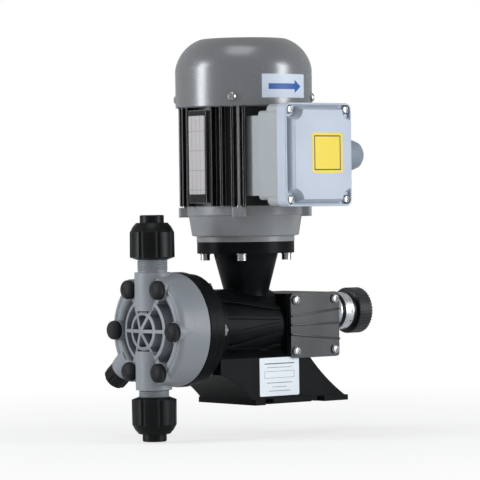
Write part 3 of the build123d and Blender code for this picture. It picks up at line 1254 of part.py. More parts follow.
PARTS = {
    "gear_casing": gear_casing,
    "side_cover": side_cover,
    "side_cover_gasket": side_cover_gasket,
    "side_cover_screws": side_cover_screws,
    "motor_flange_screws": motor_flange_screws,
    "worm_bearings": worm_bearings,
    "worm": worm,
    "worm_wheel": worm_wheel,
    "cross_shaft": cross_shaft,
    "eccentric_discs": eccentric_discs,
    "cross_bearings": cross_bearings,
    "push_yoke": push_yoke,
    "push_rod": push_rod,
    "guide_bush": guide_bush,
    "return_spring": return_spring,
    "diaphragm": diaphragm,
    "diaphragm_insert": diaphragm_insert,
    "backing_ring": backing_ring,
    "pump_head": pump_head,
    "head_bolts": head_bolts,
    "head_bolt_caps": head_bolt_caps,
    "head_bolt_nuts": head_bolt_nuts,
    "discharge_nut": lambda: upwards(coupling_nut(), DISCHARGE_NUT_Z),
    "suction_nut": lambda: downwards(coupling_nut(), SUCTION_NUT_Z),
    "discharge_connector": lambda: upwards(connector(), DISCHARGE_NECK_Z + SEAL_T),
    "suction_connector": lambda: downwards(connector(), SUCTION_NECK_Z - SEAL_T),
    "discharge_valve_cage": lambda: upwards(valve_cartridge(), DISCHARGE_FOOT),
    "suction_valve_cage": lambda: upwards(valve_cartridge(), SUCTION_FOOT),
    "discharge_ball": lambda: valve_ball(DISCHARGE_FOOT),
    "suction_ball": lambda: valve_ball(SUCTION_FOOT),
    "valve_seals": valve_seals,
    "bleed_knob": bleed_knob,
    "adjuster_sleeve": adjuster_sleeve,
    "lock_ring": lock_ring,
    "graduated_ring": graduated_ring,
    "adjusting_knob": adjusting_knob,
    "knob_cap": knob_cap,
    "adjusting_spindle": adjusting_spindle,
    "drive_end_shield": drive_end_shield,
    "stator_housing": stator_housing,
    "non_drive_shield": non_drive_shield,
    "tie_rods": tie_rods,
    "stator_core": stator_core,
    "stator_windings": stator_windings,
    "motor_bearings": motor_bearings,
    "motor_shaft": motor_shaft,
    "rotor_core": rotor_core,
    "cooling_fan": cooling_fan,
    "fan_cowl": fan_cowl,
    "fan_cowl_screws": fan_cowl_screws,
    "terminal_box_base": terminal_box_base,
    "terminal_box_gasket": terminal_box_gasket,
    "terminal_box_lid": terminal_box_lid,
    "terminal_lid_screws": terminal_lid_screws,
    "terminal_block": terminal_block,
    "terminal_studs": terminal_studs,
    "cable_gland_body": cable_gland_body,
    "cable_gland_nut": cable_gland_nut,
}

os.makedirs("parts", exist_ok=True)
for name, make in PARTS.items():
    made = make()
    solids = made if isinstance(made, list) else [made]
    shapes = [solid for item in solids for solid in item.solids()]
    node = shapes[0] if len(shapes) == 1 else Compound(children=shapes)
    node.label = name
    export_step(node, f"parts/{name}.step")
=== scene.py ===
import json
import math

import bpy
from mathutils import Matrix, Vector

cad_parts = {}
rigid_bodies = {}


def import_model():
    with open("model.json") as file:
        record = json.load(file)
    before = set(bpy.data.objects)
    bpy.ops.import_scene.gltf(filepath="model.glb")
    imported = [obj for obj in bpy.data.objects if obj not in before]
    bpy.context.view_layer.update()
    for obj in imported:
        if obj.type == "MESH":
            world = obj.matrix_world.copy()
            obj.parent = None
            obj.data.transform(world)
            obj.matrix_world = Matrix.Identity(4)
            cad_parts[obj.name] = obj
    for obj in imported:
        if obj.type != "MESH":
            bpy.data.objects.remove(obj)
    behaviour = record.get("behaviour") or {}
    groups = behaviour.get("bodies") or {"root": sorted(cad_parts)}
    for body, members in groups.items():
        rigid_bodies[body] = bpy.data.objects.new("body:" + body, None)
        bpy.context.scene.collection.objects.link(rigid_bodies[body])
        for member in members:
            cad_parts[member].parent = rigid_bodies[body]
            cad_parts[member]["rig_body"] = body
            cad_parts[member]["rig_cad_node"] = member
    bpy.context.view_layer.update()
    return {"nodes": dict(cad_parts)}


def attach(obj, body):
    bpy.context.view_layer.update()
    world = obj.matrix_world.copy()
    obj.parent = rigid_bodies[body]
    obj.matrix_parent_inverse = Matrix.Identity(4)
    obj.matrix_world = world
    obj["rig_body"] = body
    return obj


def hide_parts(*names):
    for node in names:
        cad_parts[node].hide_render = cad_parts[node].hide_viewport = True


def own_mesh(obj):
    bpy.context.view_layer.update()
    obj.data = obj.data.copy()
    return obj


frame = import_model()
bpy.ops.object.select_all(action="DESELECT")


# Gear casing: one black glass-filled moulding with the foot, the ribbed barrel, the gear chest and
# the neck under the motor. Its skin is satin with a fine moulded grain and a little grey dust.
def plastic_skin():
    """Grain, cloudy dust, softened edges and a painted highlight along the edges of a moulded plastic
    skin.
    """
    group = bpy.data.node_groups.new("plastic_skin", "ShaderNodeTree")
    face = group.interface
    for name in ("Colour", "Dust and highlight"):
        face.new_socket(name, in_out="INPUT", socket_type="NodeSocketColor")
    for name in ("Dust amount", "Roughness", "Grain size", "Relief", "Edge radius", "Edge highlight"):
        face.new_socket(name, in_out="INPUT", socket_type="NodeSocketFloat")
    face.new_socket("Colour", in_out="OUTPUT", socket_type="NodeSocketColor")
    face.new_socket("Roughness", in_out="OUTPUT", socket_type="NodeSocketFloat")
    face.new_socket("Normal", in_out="OUTPUT", socket_type="NodeSocketVector")
    nodes, link = group.nodes, group.links.new
    given = nodes.new("NodeGroupInput")
    out = nodes.new("NodeGroupOutput")
    place = nodes.new("ShaderNodeTexCoord")
    cloud = nodes.new("ShaderNodeTexNoise")
    cloud.inputs["Scale"].default_value = 26.0
    cloud.inputs["Detail"].default_value = 5.0
    link(place.outputs["Object"], cloud.inputs["Vector"])
    patches = nodes.new("ShaderNodeMapRange")
    patches.interpolation_type = "SMOOTHSTEP"
    patches.inputs["From Min"].default_value = 0.3
    patches.inputs["From Max"].default_value = 0.8
    link(cloud.outputs["Fac"], patches.inputs["Value"])
    amount = nodes.new("ShaderNodeMath")
    amount.operation = "MULTIPLY"
    link(patches.outputs["Result"], amount.inputs[0])
    link(given.outputs["Dust amount"], amount.inputs[1])
    tint = nodes.new("ShaderNodeMix")
    tint.data_type = "RGBA"
    link(amount.outputs[0], tint.inputs["Factor"])
    link(given.outputs["Colour"], tint.inputs["A"])
    link(given.outputs["Dust and highlight"], tint.inputs["B"])
    soft_edge = nodes.new("ShaderNodeBevel")
    soft_edge.samples = 4
    link(given.outputs["Edge radius"], soft_edge.inputs["Radius"])
    surface = nodes.new("ShaderNodeNewGeometry")
    apart = nodes.new("ShaderNodeVectorMath")
    apart.operation = "DOT_PRODUCT"
    link(soft_edge.outputs["Normal"], apart.inputs[0])
    link(surface.outputs["Normal"], apart.inputs[1])
    # Painted highlight: where the bevelled normal turns away from the true one, along rounded edges, the
    # colour is mixed toward the dust colour, a light line that stands in for light caught on the edges.
    edge = nodes.new("ShaderNodeMapRange")
    edge.inputs["From Min"].default_value = 0.995
    edge.inputs["From Max"].default_value = 0.86
    link(apart.outputs["Value"], edge.inputs["Value"])
    edge_highlight = nodes.new("ShaderNodeMath")
    edge_highlight.operation = "MULTIPLY"
    link(edge.outputs["Result"], edge_highlight.inputs[0])
    link(given.outputs["Edge highlight"], edge_highlight.inputs[1])
    highlighted = nodes.new("ShaderNodeMix")
    highlighted.data_type = "RGBA"
    link(edge_highlight.outputs[0], highlighted.inputs["Factor"])
    link(tint.outputs["Result"], highlighted.inputs["A"])
    link(given.outputs["Dust and highlight"], highlighted.inputs["B"])
    link(highlighted.outputs["Result"], out.inputs["Colour"])
    matt = nodes.new("ShaderNodeMath")
    matt.operation = "MULTIPLY_ADD"
    matt.inputs[1].default_value = 0.14
    link(cloud.outputs["Fac"], matt.inputs[0])
    link(given.outputs["Roughness"], matt.inputs[2])
    link(matt.outputs[0], out.inputs["Roughness"])
    grain = nodes.new("ShaderNodeTexNoise")
    grain.inputs["Detail"].default_value = 2.0
    link(place.outputs["Object"], grain.inputs["Vector"])
    link(given.outputs["Grain size"], grain.inputs["Scale"])
    bump = nodes.new("ShaderNodeBump")
    bump.inputs["Distance"].default_value = 0.0002
    link(given.outputs["Relief"], bump.inputs["Strength"])
    link(grain.outputs["Fac"], bump.inputs["Height"])
    link(soft_edge.outputs["Normal"], bump.inputs["Normal"])
    link(bump.outputs["Normal"], out.inputs["Normal"])
    return group


plastic_group = plastic_skin()


def moulded_plastic(name, colour, dust_and_highlight, dust_amount, roughness, grain=1500.0, relief=0.25,
                    edge_radius=0.0006, edge_highlight_amount=0.3, gloss=0.5):
    """A moulded plastic finish in one colour, with dust and a painted highlight along its edges."""
    finish = bpy.data.materials.new(name)
    finish.use_nodes = True
    tree = finish.node_tree
    skin = tree.nodes.new("ShaderNodeGroup")
    skin.node_tree = plastic_group
    skin.inputs["Colour"].default_value = (*colour, 1)
    skin.inputs["Dust and highlight"].default_value = (*dust_and_highlight, 1)
    skin.inputs["Dust amount"].default_value = dust_amount
    skin.inputs["Roughness"].default_value = roughness
    skin.inputs["Grain size"].default_value = grain
    skin.inputs["Relief"].default_value = relief
    skin.inputs["Edge radius"].default_value = edge_radius
    skin.inputs["Edge highlight"].default_value = edge_highlight_amount
    shader = tree.nodes["Principled BSDF"]
    shader.inputs["Specular IOR Level"].default_value = gloss
    tree.links.new(skin.outputs["Colour"], shader.inputs["Base Color"])
    tree.links.new(skin.outputs["Roughness"], shader.inputs["Roughness"])
    tree.links.new(skin.outputs["Normal"], shader.inputs["Normal"])
    return finish


merge_distance = 0.000002
cut_tolerance = 0.000001
smooth_below = math.radians(20)


def refined(node, finish, body):
    """A merged, smooth-shaded copy of a node that stands for it."""
    bpy.ops.object.select_all(action="DESELECT")
    source = frame["nodes"][node]
    piece = source.copy()
    piece.data = source.data.copy()
    piece.name = node + "_finished"
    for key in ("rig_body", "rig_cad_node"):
        if key in piece:
            del piece[key]
    piece.parent = None
    bpy.context.scene.collection.objects.link(piece)
    piece.select_set(True)
    bpy.context.view_layer.objects.active = piece
    if piece.data.has_custom_normals:
        bpy.ops.mesh.customdata_custom_splitnormals_clear()
    bpy.ops.object.mode_set(mode="EDIT")
    bpy.ops.mesh.select_all(action="SELECT")
    bpy.ops.mesh.remove_doubles(threshold=merge_distance)
    bpy.ops.object.mode_set(mode="OBJECT")
    bpy.ops.object.shade_smooth_by_angle(angle=smooth_below)
    piece.data.materials.clear()
    piece.data.materials.append(finish)
    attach(piece, body)
    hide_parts(node)
    return piece


# The casing's edges carry a painted highlight in its dust grey.
casing_black = moulded_plastic("casing_black", colour=(0.0018, 0.0022, 0.0025),
                               dust_and_highlight=(0.026, 0.028, 0.031), dust_amount=0.2, roughness=0.3, grain=1500.0,
                               relief=0.2, edge_radius=0.0008, edge_highlight_amount=0.6, gloss=0.06)
refined("gear_casing", casing_black, "body")


# Side cover of the gear chest: a moulded black plate with rounded corners, held by four screws.
# Three fine swept ribs stand on its face, and each is a bar let into the plate.
# Its heavy grey dust clouds are partly real dust and partly a painted cloudy sheen on the plate, and its
# edges carry a painted highlight.
cover_black = moulded_plastic("cover_black", colour=(0.006, 0.0068, 0.008), dust_and_highlight=(0.045, 0.048, 0.054),
                              dust_amount=0.8, roughness=0.26, grain=700.0, relief=0.3,
                              edge_radius=0.0006, edge_highlight_amount=0.8, gloss=0.4)
refined("side_cover", cover_black, "body")
cover_face, cover_left, cover_right = -0.04097, 0.0188, 0.0772
rib_length, rib_depth, rib_width = 0.0640, 0.0026, 0.0017
rib_proud, rib_edge = 0.0015, 0.00045
bpy.ops.object.mode_set(mode="EDIT")
bpy.ops.mesh.select_all(action="SELECT")
bpy.ops.mesh.bisect(plane_co=(0, cover_face, 0), plane_no=(0, -1, 0), clear_outer=True, use_fill=True,
                    threshold=cut_tolerance)
bpy.ops.object.mode_set(mode="OBJECT")
bpy.ops.object.shade_smooth_by_angle(angle=smooth_below)
for name, left_z, right_z in (("cover_rib_top", 0.0794, 0.0849), ("cover_rib_middle", 0.0716, 0.0719),
                              ("cover_rib_low", 0.0629, 0.0571)):
    rise = math.atan2(right_z - left_z, cover_right - cover_left)
    bpy.ops.object.select_all(action="DESELECT")
    middle = ((cover_left + cover_right) / 2, cover_face - rib_proud + rib_depth / 2,
              (left_z + right_z) / 2)
    bpy.ops.mesh.primitive_cube_add(size=1.0, location=middle, rotation=(0, -rise, 0))
    rib = bpy.context.object
    rib.name = name
    rib.scale = (rib_length, rib_depth, rib_width)
    bpy.ops.object.transform_apply(location=True, rotation=True, scale=True)
    bpy.ops.object.mode_set(mode="EDIT")
    for place, outwards in ((cover_left, (-1, 0, 0)), (cover_right, (1, 0, 0))):
        bpy.ops.mesh.select_all(action="SELECT")
        bpy.ops.mesh.bisect(plane_co=(place, 0, 0), plane_no=outwards, clear_outer=True, use_fill=True,
                            threshold=cut_tolerance)
    bpy.ops.mesh.select_all(action="SELECT")
    bpy.ops.mesh.bevel(offset=rib_edge, segments=3)
    bpy.ops.object.mode_set(mode="OBJECT")
    bpy.ops.object.shade_smooth_by_angle(angle=math.radians(35))
    rib.data.materials.append(cover_black)
    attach(rib, "body")


# Blank label on the casing's flank: a white printed film stuck on the flat web over the foot. It
# carries a plain box and a few ruled lines, and no words.
def flat_film(name, middle, width, height, turn, finish, corner, thick):
    """A thin sheet with rounded corners lying on a flat face."""
    bpy.ops.object.select_all(action="DESELECT")
    bpy.ops.mesh.primitive_plane_add(size=1.0, location=middle, rotation=turn)
    film = bpy.context.object
    film.name = name
    film.scale = (width, height, 1)
    bpy.ops.object.transform_apply(location=True, rotation=True, scale=True)
    bpy.ops.object.mode_set(mode="EDIT")
    bpy.ops.mesh.select_all(action="SELECT")
    bpy.ops.mesh.bevel(offset=corner, segments=5, affect="VERTICES")
    bpy.ops.object.mode_set(mode="OBJECT")
    film.modifiers.new("sheet", "SOLIDIFY").thickness = thick
    film.modifiers["sheet"].offset = 1.0
    bpy.ops.object.modifier_apply(modifier="sheet")
    film.data.materials.append(finish)
    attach(film, "body")
    return film


def printed_film(name, colour, faded, gloss, dust_amount=0.15, roughness=0.4):
    """A smooth sheet or ink that lies flat, with no softened edge of its own."""
    return moulded_plastic(name, colour=colour, dust_and_highlight=faded, dust_amount=dust_amount, roughness=roughness,
                           grain=900.0, relief=0.05, edge_radius=0.00005, edge_highlight_amount=0.0, gloss=gloss)


def joined(pieces, name):
    """Like pieces made one object, with its place in its mesh."""
    bpy.ops.object.select_all(action="DESELECT")
    for piece in pieces:
        piece.select_set(True)
    bpy.context.view_layer.objects.active = pieces[0]
    bpy.ops.object.join()
    whole = bpy.context.object
    whole.name = name
    bpy.ops.object.transform_apply(location=True, rotation=True, scale=True)
    return whole


facing_front = (math.pi / 2, 0, 0)
label_paper = printed_film("label_paper", (0.78, 0.82, 0.86), (0.6, 0.63, 0.66), gloss=0.35)
label_x, label_face, label_z = 0.0066, -0.03800, 0.0250
label_width, label_height, label_corner, label_thick = 0.0468, 0.0350, 0.0012, 0.00014
flat_film("casing_label", (label_x, label_face, label_z), label_width, label_height, facing_front,
          label_paper, label_corner, label_thick)
print_grey = printed_film("print_grey", (0.07, 0.075, 0.085), (0.12, 0.12, 0.13), gloss=0.3,
                          dust_amount=0.2, roughness=0.5)
print_face, print_corner, print_thick = -0.03813, 0.00008, 0.00004
box_left, box_right, box_middle_z, box_height, box_line = -0.0110, 0.0242, 0.0270, 0.0063, 0.0003
rules = []
# Each row: a rule's left end, right end, height and line width.
for left, right, height, line in ((box_left, box_right, 0.0370, 0.0009),
                                  (-0.0080, 0.0212, 0.0335, 0.0004),
                                  (box_left, box_right, 0.0300, box_line),
                                  (box_left, box_right, 0.0240, box_line),
                                  (-0.0085, 0.0217, 0.0195, 0.0005),
                                  (-0.0020, 0.0152, 0.0158, 0.0004),
                                  (-0.0060, 0.0192, 0.0121, 0.0005)):
    rules.append(flat_film("rule", ((left + right) / 2, print_face, height), right - left, line,
                           facing_front, print_grey, print_corner, print_thick))
for side in (box_left, box_right):
    rules.append(flat_film("rule", (side, print_face, box_middle_z), box_line, box_height,
                           facing_front, print_grey, print_corner, print_thick))
joined(rules, "casing_label_rules")


# Seals: the paper gasket under the side cover, the rubber gasket under the terminal box's lid and
# the rubber rings in the valve necks, all black and matt.
def dress(node, finish):
    """Give a node of the frame its finish."""
    mesh = frame["nodes"][node].data
    if not mesh.materials:
        mesh.materials.append(finish)
    for slot in range(len(mesh.materials)):
        mesh.materials[slot] = finish


seal_rubber = moulded_plastic("seal_rubber", colour=(0.012, 0.012, 0.012), dust_and_highlight=(0.04, 0.04, 0.04),
                              dust_amount=0.5, roughness=0.6)
for name in ("side_cover_gasket", "terminal_box_gasket", "valve_seals"):
    dress(name, seal_rubber)


# Screws, bolts and nuts of bright zinc-plated steel, with fine turning marks. They hold the covers,
# the motor's flange, the pump head, the cowl and the lid, and long rods tie the motor together.
def metal_skin():
    """Fine scratches and uneven shine of a worked metal."""
    group = bpy.data.node_groups.new("metal_skin", "ShaderNodeTree")
    face = group.interface
    for name in ("Colour", "Shade"):
        face.new_socket(name, in_out="INPUT", socket_type="NodeSocketColor")
    for name in ("Roughness", "Mark size", "Relief"):
        face.new_socket(name, in_out="INPUT", socket_type="NodeSocketFloat")
    face.new_socket("Colour", in_out="OUTPUT", socket_type="NodeSocketColor")
    face.new_socket("Roughness", in_out="OUTPUT", socket_type="NodeSocketFloat")
    face.new_socket("Normal", in_out="OUTPUT", socket_type="NodeSocketVector")
    nodes, link = group.nodes, group.links.new
    given = nodes.new("NodeGroupInput")
    out = nodes.new("NodeGroupOutput")
    place = nodes.new("ShaderNodeTexCoord")
    stretch = nodes.new("ShaderNodeMapping")
    stretch.inputs["Scale"].default_value = (1.0, 1.0, 0.15)
    link(place.outputs["Object"], stretch.inputs["Vector"])
    marks = nodes.new("ShaderNodeTexNoise")
    marks.inputs["Detail"].default_value = 4.0
    link(stretch.outputs["Vector"], marks.inputs["Vector"])
    link(given.outputs["Mark size"], marks.inputs["Scale"])
    cloud = nodes.new("ShaderNodeTexNoise")
    cloud.inputs["Scale"].default_value = 90.0
    link(place.outputs["Object"], cloud.inputs["Vector"])
    tint = nodes.new("ShaderNodeMix")
    tint.data_type = "RGBA"
    link(cloud.outputs["Fac"], tint.inputs["Factor"])
    link(given.outputs["Colour"], tint.inputs["A"])
    link(given.outputs["Shade"], tint.inputs["B"])
    link(tint.outputs["Result"], out.inputs["Colour"])
    matt = nodes.new("ShaderNodeMath")
    matt.operation = "MULTIPLY_ADD"
    matt.inputs[1].default_value = 0.18
    link(marks.outputs["Fac"], matt.inputs[0])
    link(given.outputs["Roughness"], matt.inputs[2])
    link(matt.outputs[0], out.inputs["Roughness"])
    soft_edge = nodes.new("ShaderNodeBevel")
    soft_edge.samples = 4
    soft_edge.inputs["Radius"].default_value = 0.0003
    bump = nodes.new("ShaderNodeBump")
    bump.inputs["Distance"].default_value = 0.0001
    link(given.outputs["Relief"], bump.inputs["Strength"])
    link(marks.outputs["Fac"], bump.inputs["Height"])
    link(soft_edge.outputs["Normal"], bump.inputs["Normal"])
    link(bump.outputs["Normal"], out.inputs["Normal"])
    return group


metal_group = metal_skin()


def worked_metal(name, colour, shade, roughness, marks=900.0, relief=0.15):
    """A bare or plated metal finish."""
    finish = bpy.data.materials.new(name)
    finish.use_nodes = True
    tree = finish.node_tree
    skin = tree.nodes.new("ShaderNodeGroup")
    skin.node_tree = metal_group
    skin.inputs["Colour"].default_value = (*colour, 1)
    skin.inputs["Shade"].default_value = (*shade, 1)
    skin.inputs["Roughness"].default_value = roughness
    skin.inputs["Mark size"].default_value = marks
    skin.inputs["Relief"].default_value = relief
    shader = tree.nodes["Principled BSDF"]
    shader.inputs["Metallic"].default_value = 1.0
    tree.links.new(skin.outputs["Colour"], shader.inputs["Base Color"])
    tree.links.new(skin.outputs["Roughness"], shader.inputs["Roughness"])
    tree.links.new(skin.outputs["Normal"], shader.inputs["Normal"])
    return finish


zinc = worked_metal("zinc", colour=(0.42, 0.42, 0.43), shade=(0.28, 0.28, 0.29), roughness=0.2)
for name in ("side_cover_screws", "motor_flange_screws", "head_bolts", "head_bolt_nuts",
             "tie_rods", "fan_cowl_screws", "terminal_lid_screws"):
    refined(name, zinc, "body")


# Worm gear and stroke drive inside the casing: worm, shafts and eccentrics of ground steel, ball
# bearings, and a wheel and a guide bush of bronze. An oiled spring pushes the yoke back; in the real
# pump it gets shorter with the stroke, here it keeps one length.
ground_steel = worked_metal("ground_steel", colour=(0.6, 0.6, 0.61), shade=(0.45, 0.45, 0.47),
                            roughness=0.2)
for name in ("worm", "cross_shaft", "eccentric_discs", "push_yoke", "push_rod", "diaphragm_insert",
             "adjusting_spindle", "motor_shaft"):
    dress(name, ground_steel)
bearing_steel = worked_metal("bearing_steel", colour=(0.75, 0.75, 0.76), shade=(0.6, 0.6, 0.62),
                             roughness=0.12)
for name in ("worm_bearings", "cross_bearings", "motor_bearings"):
    dress(name, bearing_steel)
gear_bronze = worked_metal("gear_bronze", colour=(0.62, 0.42, 0.18), shade=(0.45, 0.3, 0.12),
                           roughness=0.25)
for name in ("worm_wheel", "guide_bush"):
    dress(name, gear_bronze)
spring_wire = worked_metal("spring_wire", colour=(0.3, 0.3, 0.32), shade=(0.18, 0.18, 0.19),
                           roughness=0.3)
spring = refined("return_spring", spring_wire, "body")
pump_axis_z = 0.0700
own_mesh(spring)


# Diaphragm of white coated rubber, clamped at its rim between the pump head and a black moulded
# backing ring that sits on the casing's flange.
white_rubber = moulded_plastic("white_rubber", colour=(0.75, 0.75, 0.72), dust_and_highlight=(0.6, 0.6, 0.56),
                               dust_amount=0.4, roughness=0.4)
dress("diaphragm", white_rubber)
refined("backing_ring", casing_black, "body")


# Pump head: one moulding of bluish grey plastic with the drum, the open grille, six bolt bosses
# and both valve necks, bolted up against the backing ring.
head_grey = moulded_plastic("head_grey", colour=(0.22, 0.235, 0.255), dust_and_highlight=(0.3, 0.315, 0.34),
                            dust_amount=0.25, roughness=0.34, grain=1200.0, relief=0.15,
                            edge_radius=0.0008, edge_highlight_amount=0.35, gloss=0.3)
refined("pump_head", head_grey, "body")


# Shoulder of the head: the same moulding rolls over in one soft curve from the drum to the valley
# behind its rim. It is a ring drawn out along the pump axis in short steps and closed at the back.
drum_r, shoulder_back_x = 0.05142, -0.1008
shoulder_foot = (shoulder_back_x, 0, pump_axis_z)
bpy.ops.object.select_all(action="DESELECT")
bpy.ops.mesh.primitive_circle_add(vertices=144, radius=drum_r, location=shoulder_foot,
                                  rotation=(0, math.pi / 2, 0))
shoulder = bpy.context.object
shoulder.name = "head_shoulder"
bpy.ops.object.transform_apply(location=True, rotation=True, scale=True)
bpy.ops.object.mode_set(mode="EDIT")
bpy.ops.mesh.select_all(action="SELECT")
reached = drum_r
# Each row: how far the ring is drawn forward, and its radius there.
for step, radius in ((0.0104, drum_r), (0.0013, 0.05128), (0.0013, 0.05086), (0.0011, 0.05018),
                     (0.0009, 0.04930), (0.0006, 0.04838), (0.0002, 0.04745), (-0.0004, 0.04650),
                     (-0.0012, 0.04500), (-0.0142, 0.04400), (0.0, drum_r)):
    bpy.ops.mesh.extrude_region_move(TRANSFORM_OT_translate={"value": (-step, 0, 0)})
    bpy.ops.transform.resize(value=(1, radius / reached, radius / reached),
                             center_override=shoulder_foot)
    reached = radius
bpy.ops.mesh.select_all(action="SELECT")
bpy.ops.mesh.remove_doubles(threshold=merge_distance)
bpy.ops.mesh.normals_make_consistent(inside=False)
bpy.ops.object.mode_set(mode="OBJECT")
bpy.ops.object.shade_smooth_by_angle(angle=math.radians(40))
shoulder.data.materials.append(head_grey)
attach(shoulder, "body")


# Threads on both valve necks: an angular thread moulded with the neck, for the coupling nut. It
# shows between the head's collar and the nut, and runs on up into the nut.
def neck_thread(name, low, high):
    """Raised thread round the valve axis between two heights."""
    axis_x, neck_r, pitch, crest = -0.1087, 0.01315, 0.0018, 0.00085
    bpy.ops.object.select_all(action="DESELECT")
    bpy.ops.mesh.primitive_circle_add(vertices=3, radius=crest, location=(axis_x + neck_r, 0, low),
                                      rotation=(math.pi / 2, 0, 0))
    thread = bpy.context.object
    thread.name = name
    bpy.ops.object.transform_apply(location=True, rotation=True, scale=True)
    bpy.context.scene.cursor.location = (axis_x, 0, 0)
    bpy.ops.object.origin_set(type="ORIGIN_CURSOR")
    bpy.context.scene.cursor.location = (0, 0, 0)
    screw = thread.modifiers.new("thread", "SCREW")
    screw.axis = "Z"
    screw.screw_offset = pitch
    screw.iterations = int((high - low) / pitch)
    screw.steps = screw.render_steps = 64
    screw.use_merge_vertices = True
    bpy.ops.object.modifier_apply(modifier="thread")
    bpy.ops.object.transform_apply(location=True, rotation=True, scale=True)
    bpy.ops.object.mode_set(mode="EDIT")
    bpy.ops.mesh.select_all(action="SELECT")
    bpy.ops.mesh.remove_doubles(threshold=merge_distance)
    bpy.ops.mesh.select_all(action="DESELECT")
    bpy.ops.mesh.select_non_manifold(extend=False)
    bpy.ops.mesh.fill()
    bpy.ops.mesh.select_all(action="SELECT")
    bpy.ops.mesh.normals_make_consistent(inside=False)
    bpy.ops.object.mode_set(mode="OBJECT")
    thread.data.materials.append(head_grey)
    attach(thread, "body")


neck_thread("discharge_neck_thread", 0.1240, 0.1345)
neck_thread("suction_neck_thread", 0.0092, 0.0165)


# Black polypropylene fittings: ribbed coupling nuts, pipe connectors and the bleed knob are moulded.
# Six domed caps sit over the heads of the bolts, each drawn up from a short disc in small steps.
fitting_black = moulded_plastic("fitting_black", colour=(0.002, 0.0022, 0.0024),
                                dust_and_highlight=(0.028, 0.029, 0.031), dust_amount=0.15, roughness=0.3,
                                grain=1500.0, relief=0.25, edge_radius=0.0006, edge_highlight_amount=0.5,
                                gloss=0.15)
for name in ("discharge_nut", "suction_nut", "discharge_connector", "suction_connector"):
    refined(name, fitting_black, "body")
cap_black = moulded_plastic("cap_black", colour=(0.007, 0.007, 0.0075), dust_and_highlight=(0.03, 0.03, 0.032),
                            dust_amount=0.5, roughness=0.45, grain=2200.0, relief=0.4,
                            edge_radius=0.0006, edge_highlight_amount=0.4, gloss=0.2)
cap_count, bolt_circle_r = 6, 0.0426
cap_middle_x, cap_r, cap_depth = -0.1196, 0.0086, 0.0036
caps = []
for number in range(cap_count):
    turn = 2 * math.pi * number / cap_count
    place = (cap_middle_x, bolt_circle_r * math.cos(turn), pump_axis_z + bolt_circle_r * math.sin(turn))
    bpy.ops.object.select_all(action="DESELECT")
    bpy.ops.mesh.primitive_cylinder_add(vertices=56, radius=cap_r, depth=cap_depth, location=place,
                                        rotation=(0, math.pi / 2, 0))
    cap = bpy.context.object
    bpy.ops.object.transform_apply(location=True, rotation=True, scale=True)
    for face in cap.data.polygons:
        face.select = face.normal.x < -0.9
    bpy.ops.object.mode_set(mode="EDIT")
    bpy.ops.mesh.select_mode(type="FACE")
    centre = (cap_middle_x - cap_depth / 2, place[1], place[2])
    for step, shrink in ((0.0009, 0.97), (0.0010, 0.92), (0.0009, 0.86), (0.0006, 0.78), (0.0004, 0.66),
                         (0.0002, 0.45), (0.00005, 0.2)):
        bpy.ops.mesh.extrude_region_move(TRANSFORM_OT_translate={"value": (-step, 0, 0)})
        bpy.ops.transform.resize(value=(1, shrink, shrink), center_override=centre)
    bpy.ops.mesh.select_all(action="SELECT")
    bpy.ops.mesh.normals_make_consistent(inside=False)
    bpy.ops.object.mode_set(mode="OBJECT")
    caps.append(cap)
bolt_caps = joined(caps, "domed_bolt_caps")
bpy.ops.object.shade_smooth_by_angle(angle=math.radians(30))
bolt_caps.data.materials.clear()
bolt_caps.data.materials.append(cap_black)
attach(bolt_caps, "body")
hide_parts("head_bolt_caps")
refined("bleed_knob", fitting_black, "bleed_valve")


# Valve cages of natural polypropylene, pushed into the necks, each with a loose ceramic ball, and
# the motor's terminal block in the same natural plastic.
cage_plastic = moulded_plastic("cage_plastic", colour=(0.7, 0.69, 0.62), dust_and_highlight=(0.6, 0.58, 0.5),
                               dust_amount=0.3, roughness=0.4)
for name in ("discharge_valve_cage", "suction_valve_cage", "terminal_block"):
    dress(name, cage_plastic)
ball_ceramic = moulded_plastic("ball_ceramic", colour=(0.8, 0.77, 0.7), dust_and_highlight=(0.7, 0.66, 0.58),
                               dust_amount=0.3, roughness=0.12)
for name in ("discharge_ball", "suction_ball"):
    dress(name, ball_ceramic)


# Stroke adjuster: a turned aluminium sleeve in the end of the gear chest and a turned dial ring,
# with a black lock ring and a ridged hand knob that has a pressed-in cap.
turned_aluminium = worked_metal("turned_aluminium", colour=(0.72, 0.74, 0.76), shade=(0.58, 0.6, 0.62),
                                roughness=0.24, marks=1500.0, relief=0.2)
refined("adjuster_sleeve", turned_aluminium, "body")
refined("graduated_ring", turned_aluminium, "stroke_knob")
refined("lock_ring", fitting_black, "body")
# The knob's ridges carry a full painted highlight along their edges in grey.
knob_black = moulded_plastic("knob_black", colour=(0.006, 0.0062, 0.0065), dust_and_highlight=(0.09, 0.09, 0.095),
                             dust_amount=0.12, roughness=0.3, grain=1500.0, relief=0.2,
                             edge_radius=0.0006, edge_highlight_amount=1.0, gloss=0.3)
refined("adjusting_knob", knob_black, "stroke_knob")
dress("knob_cap", fitting_black)


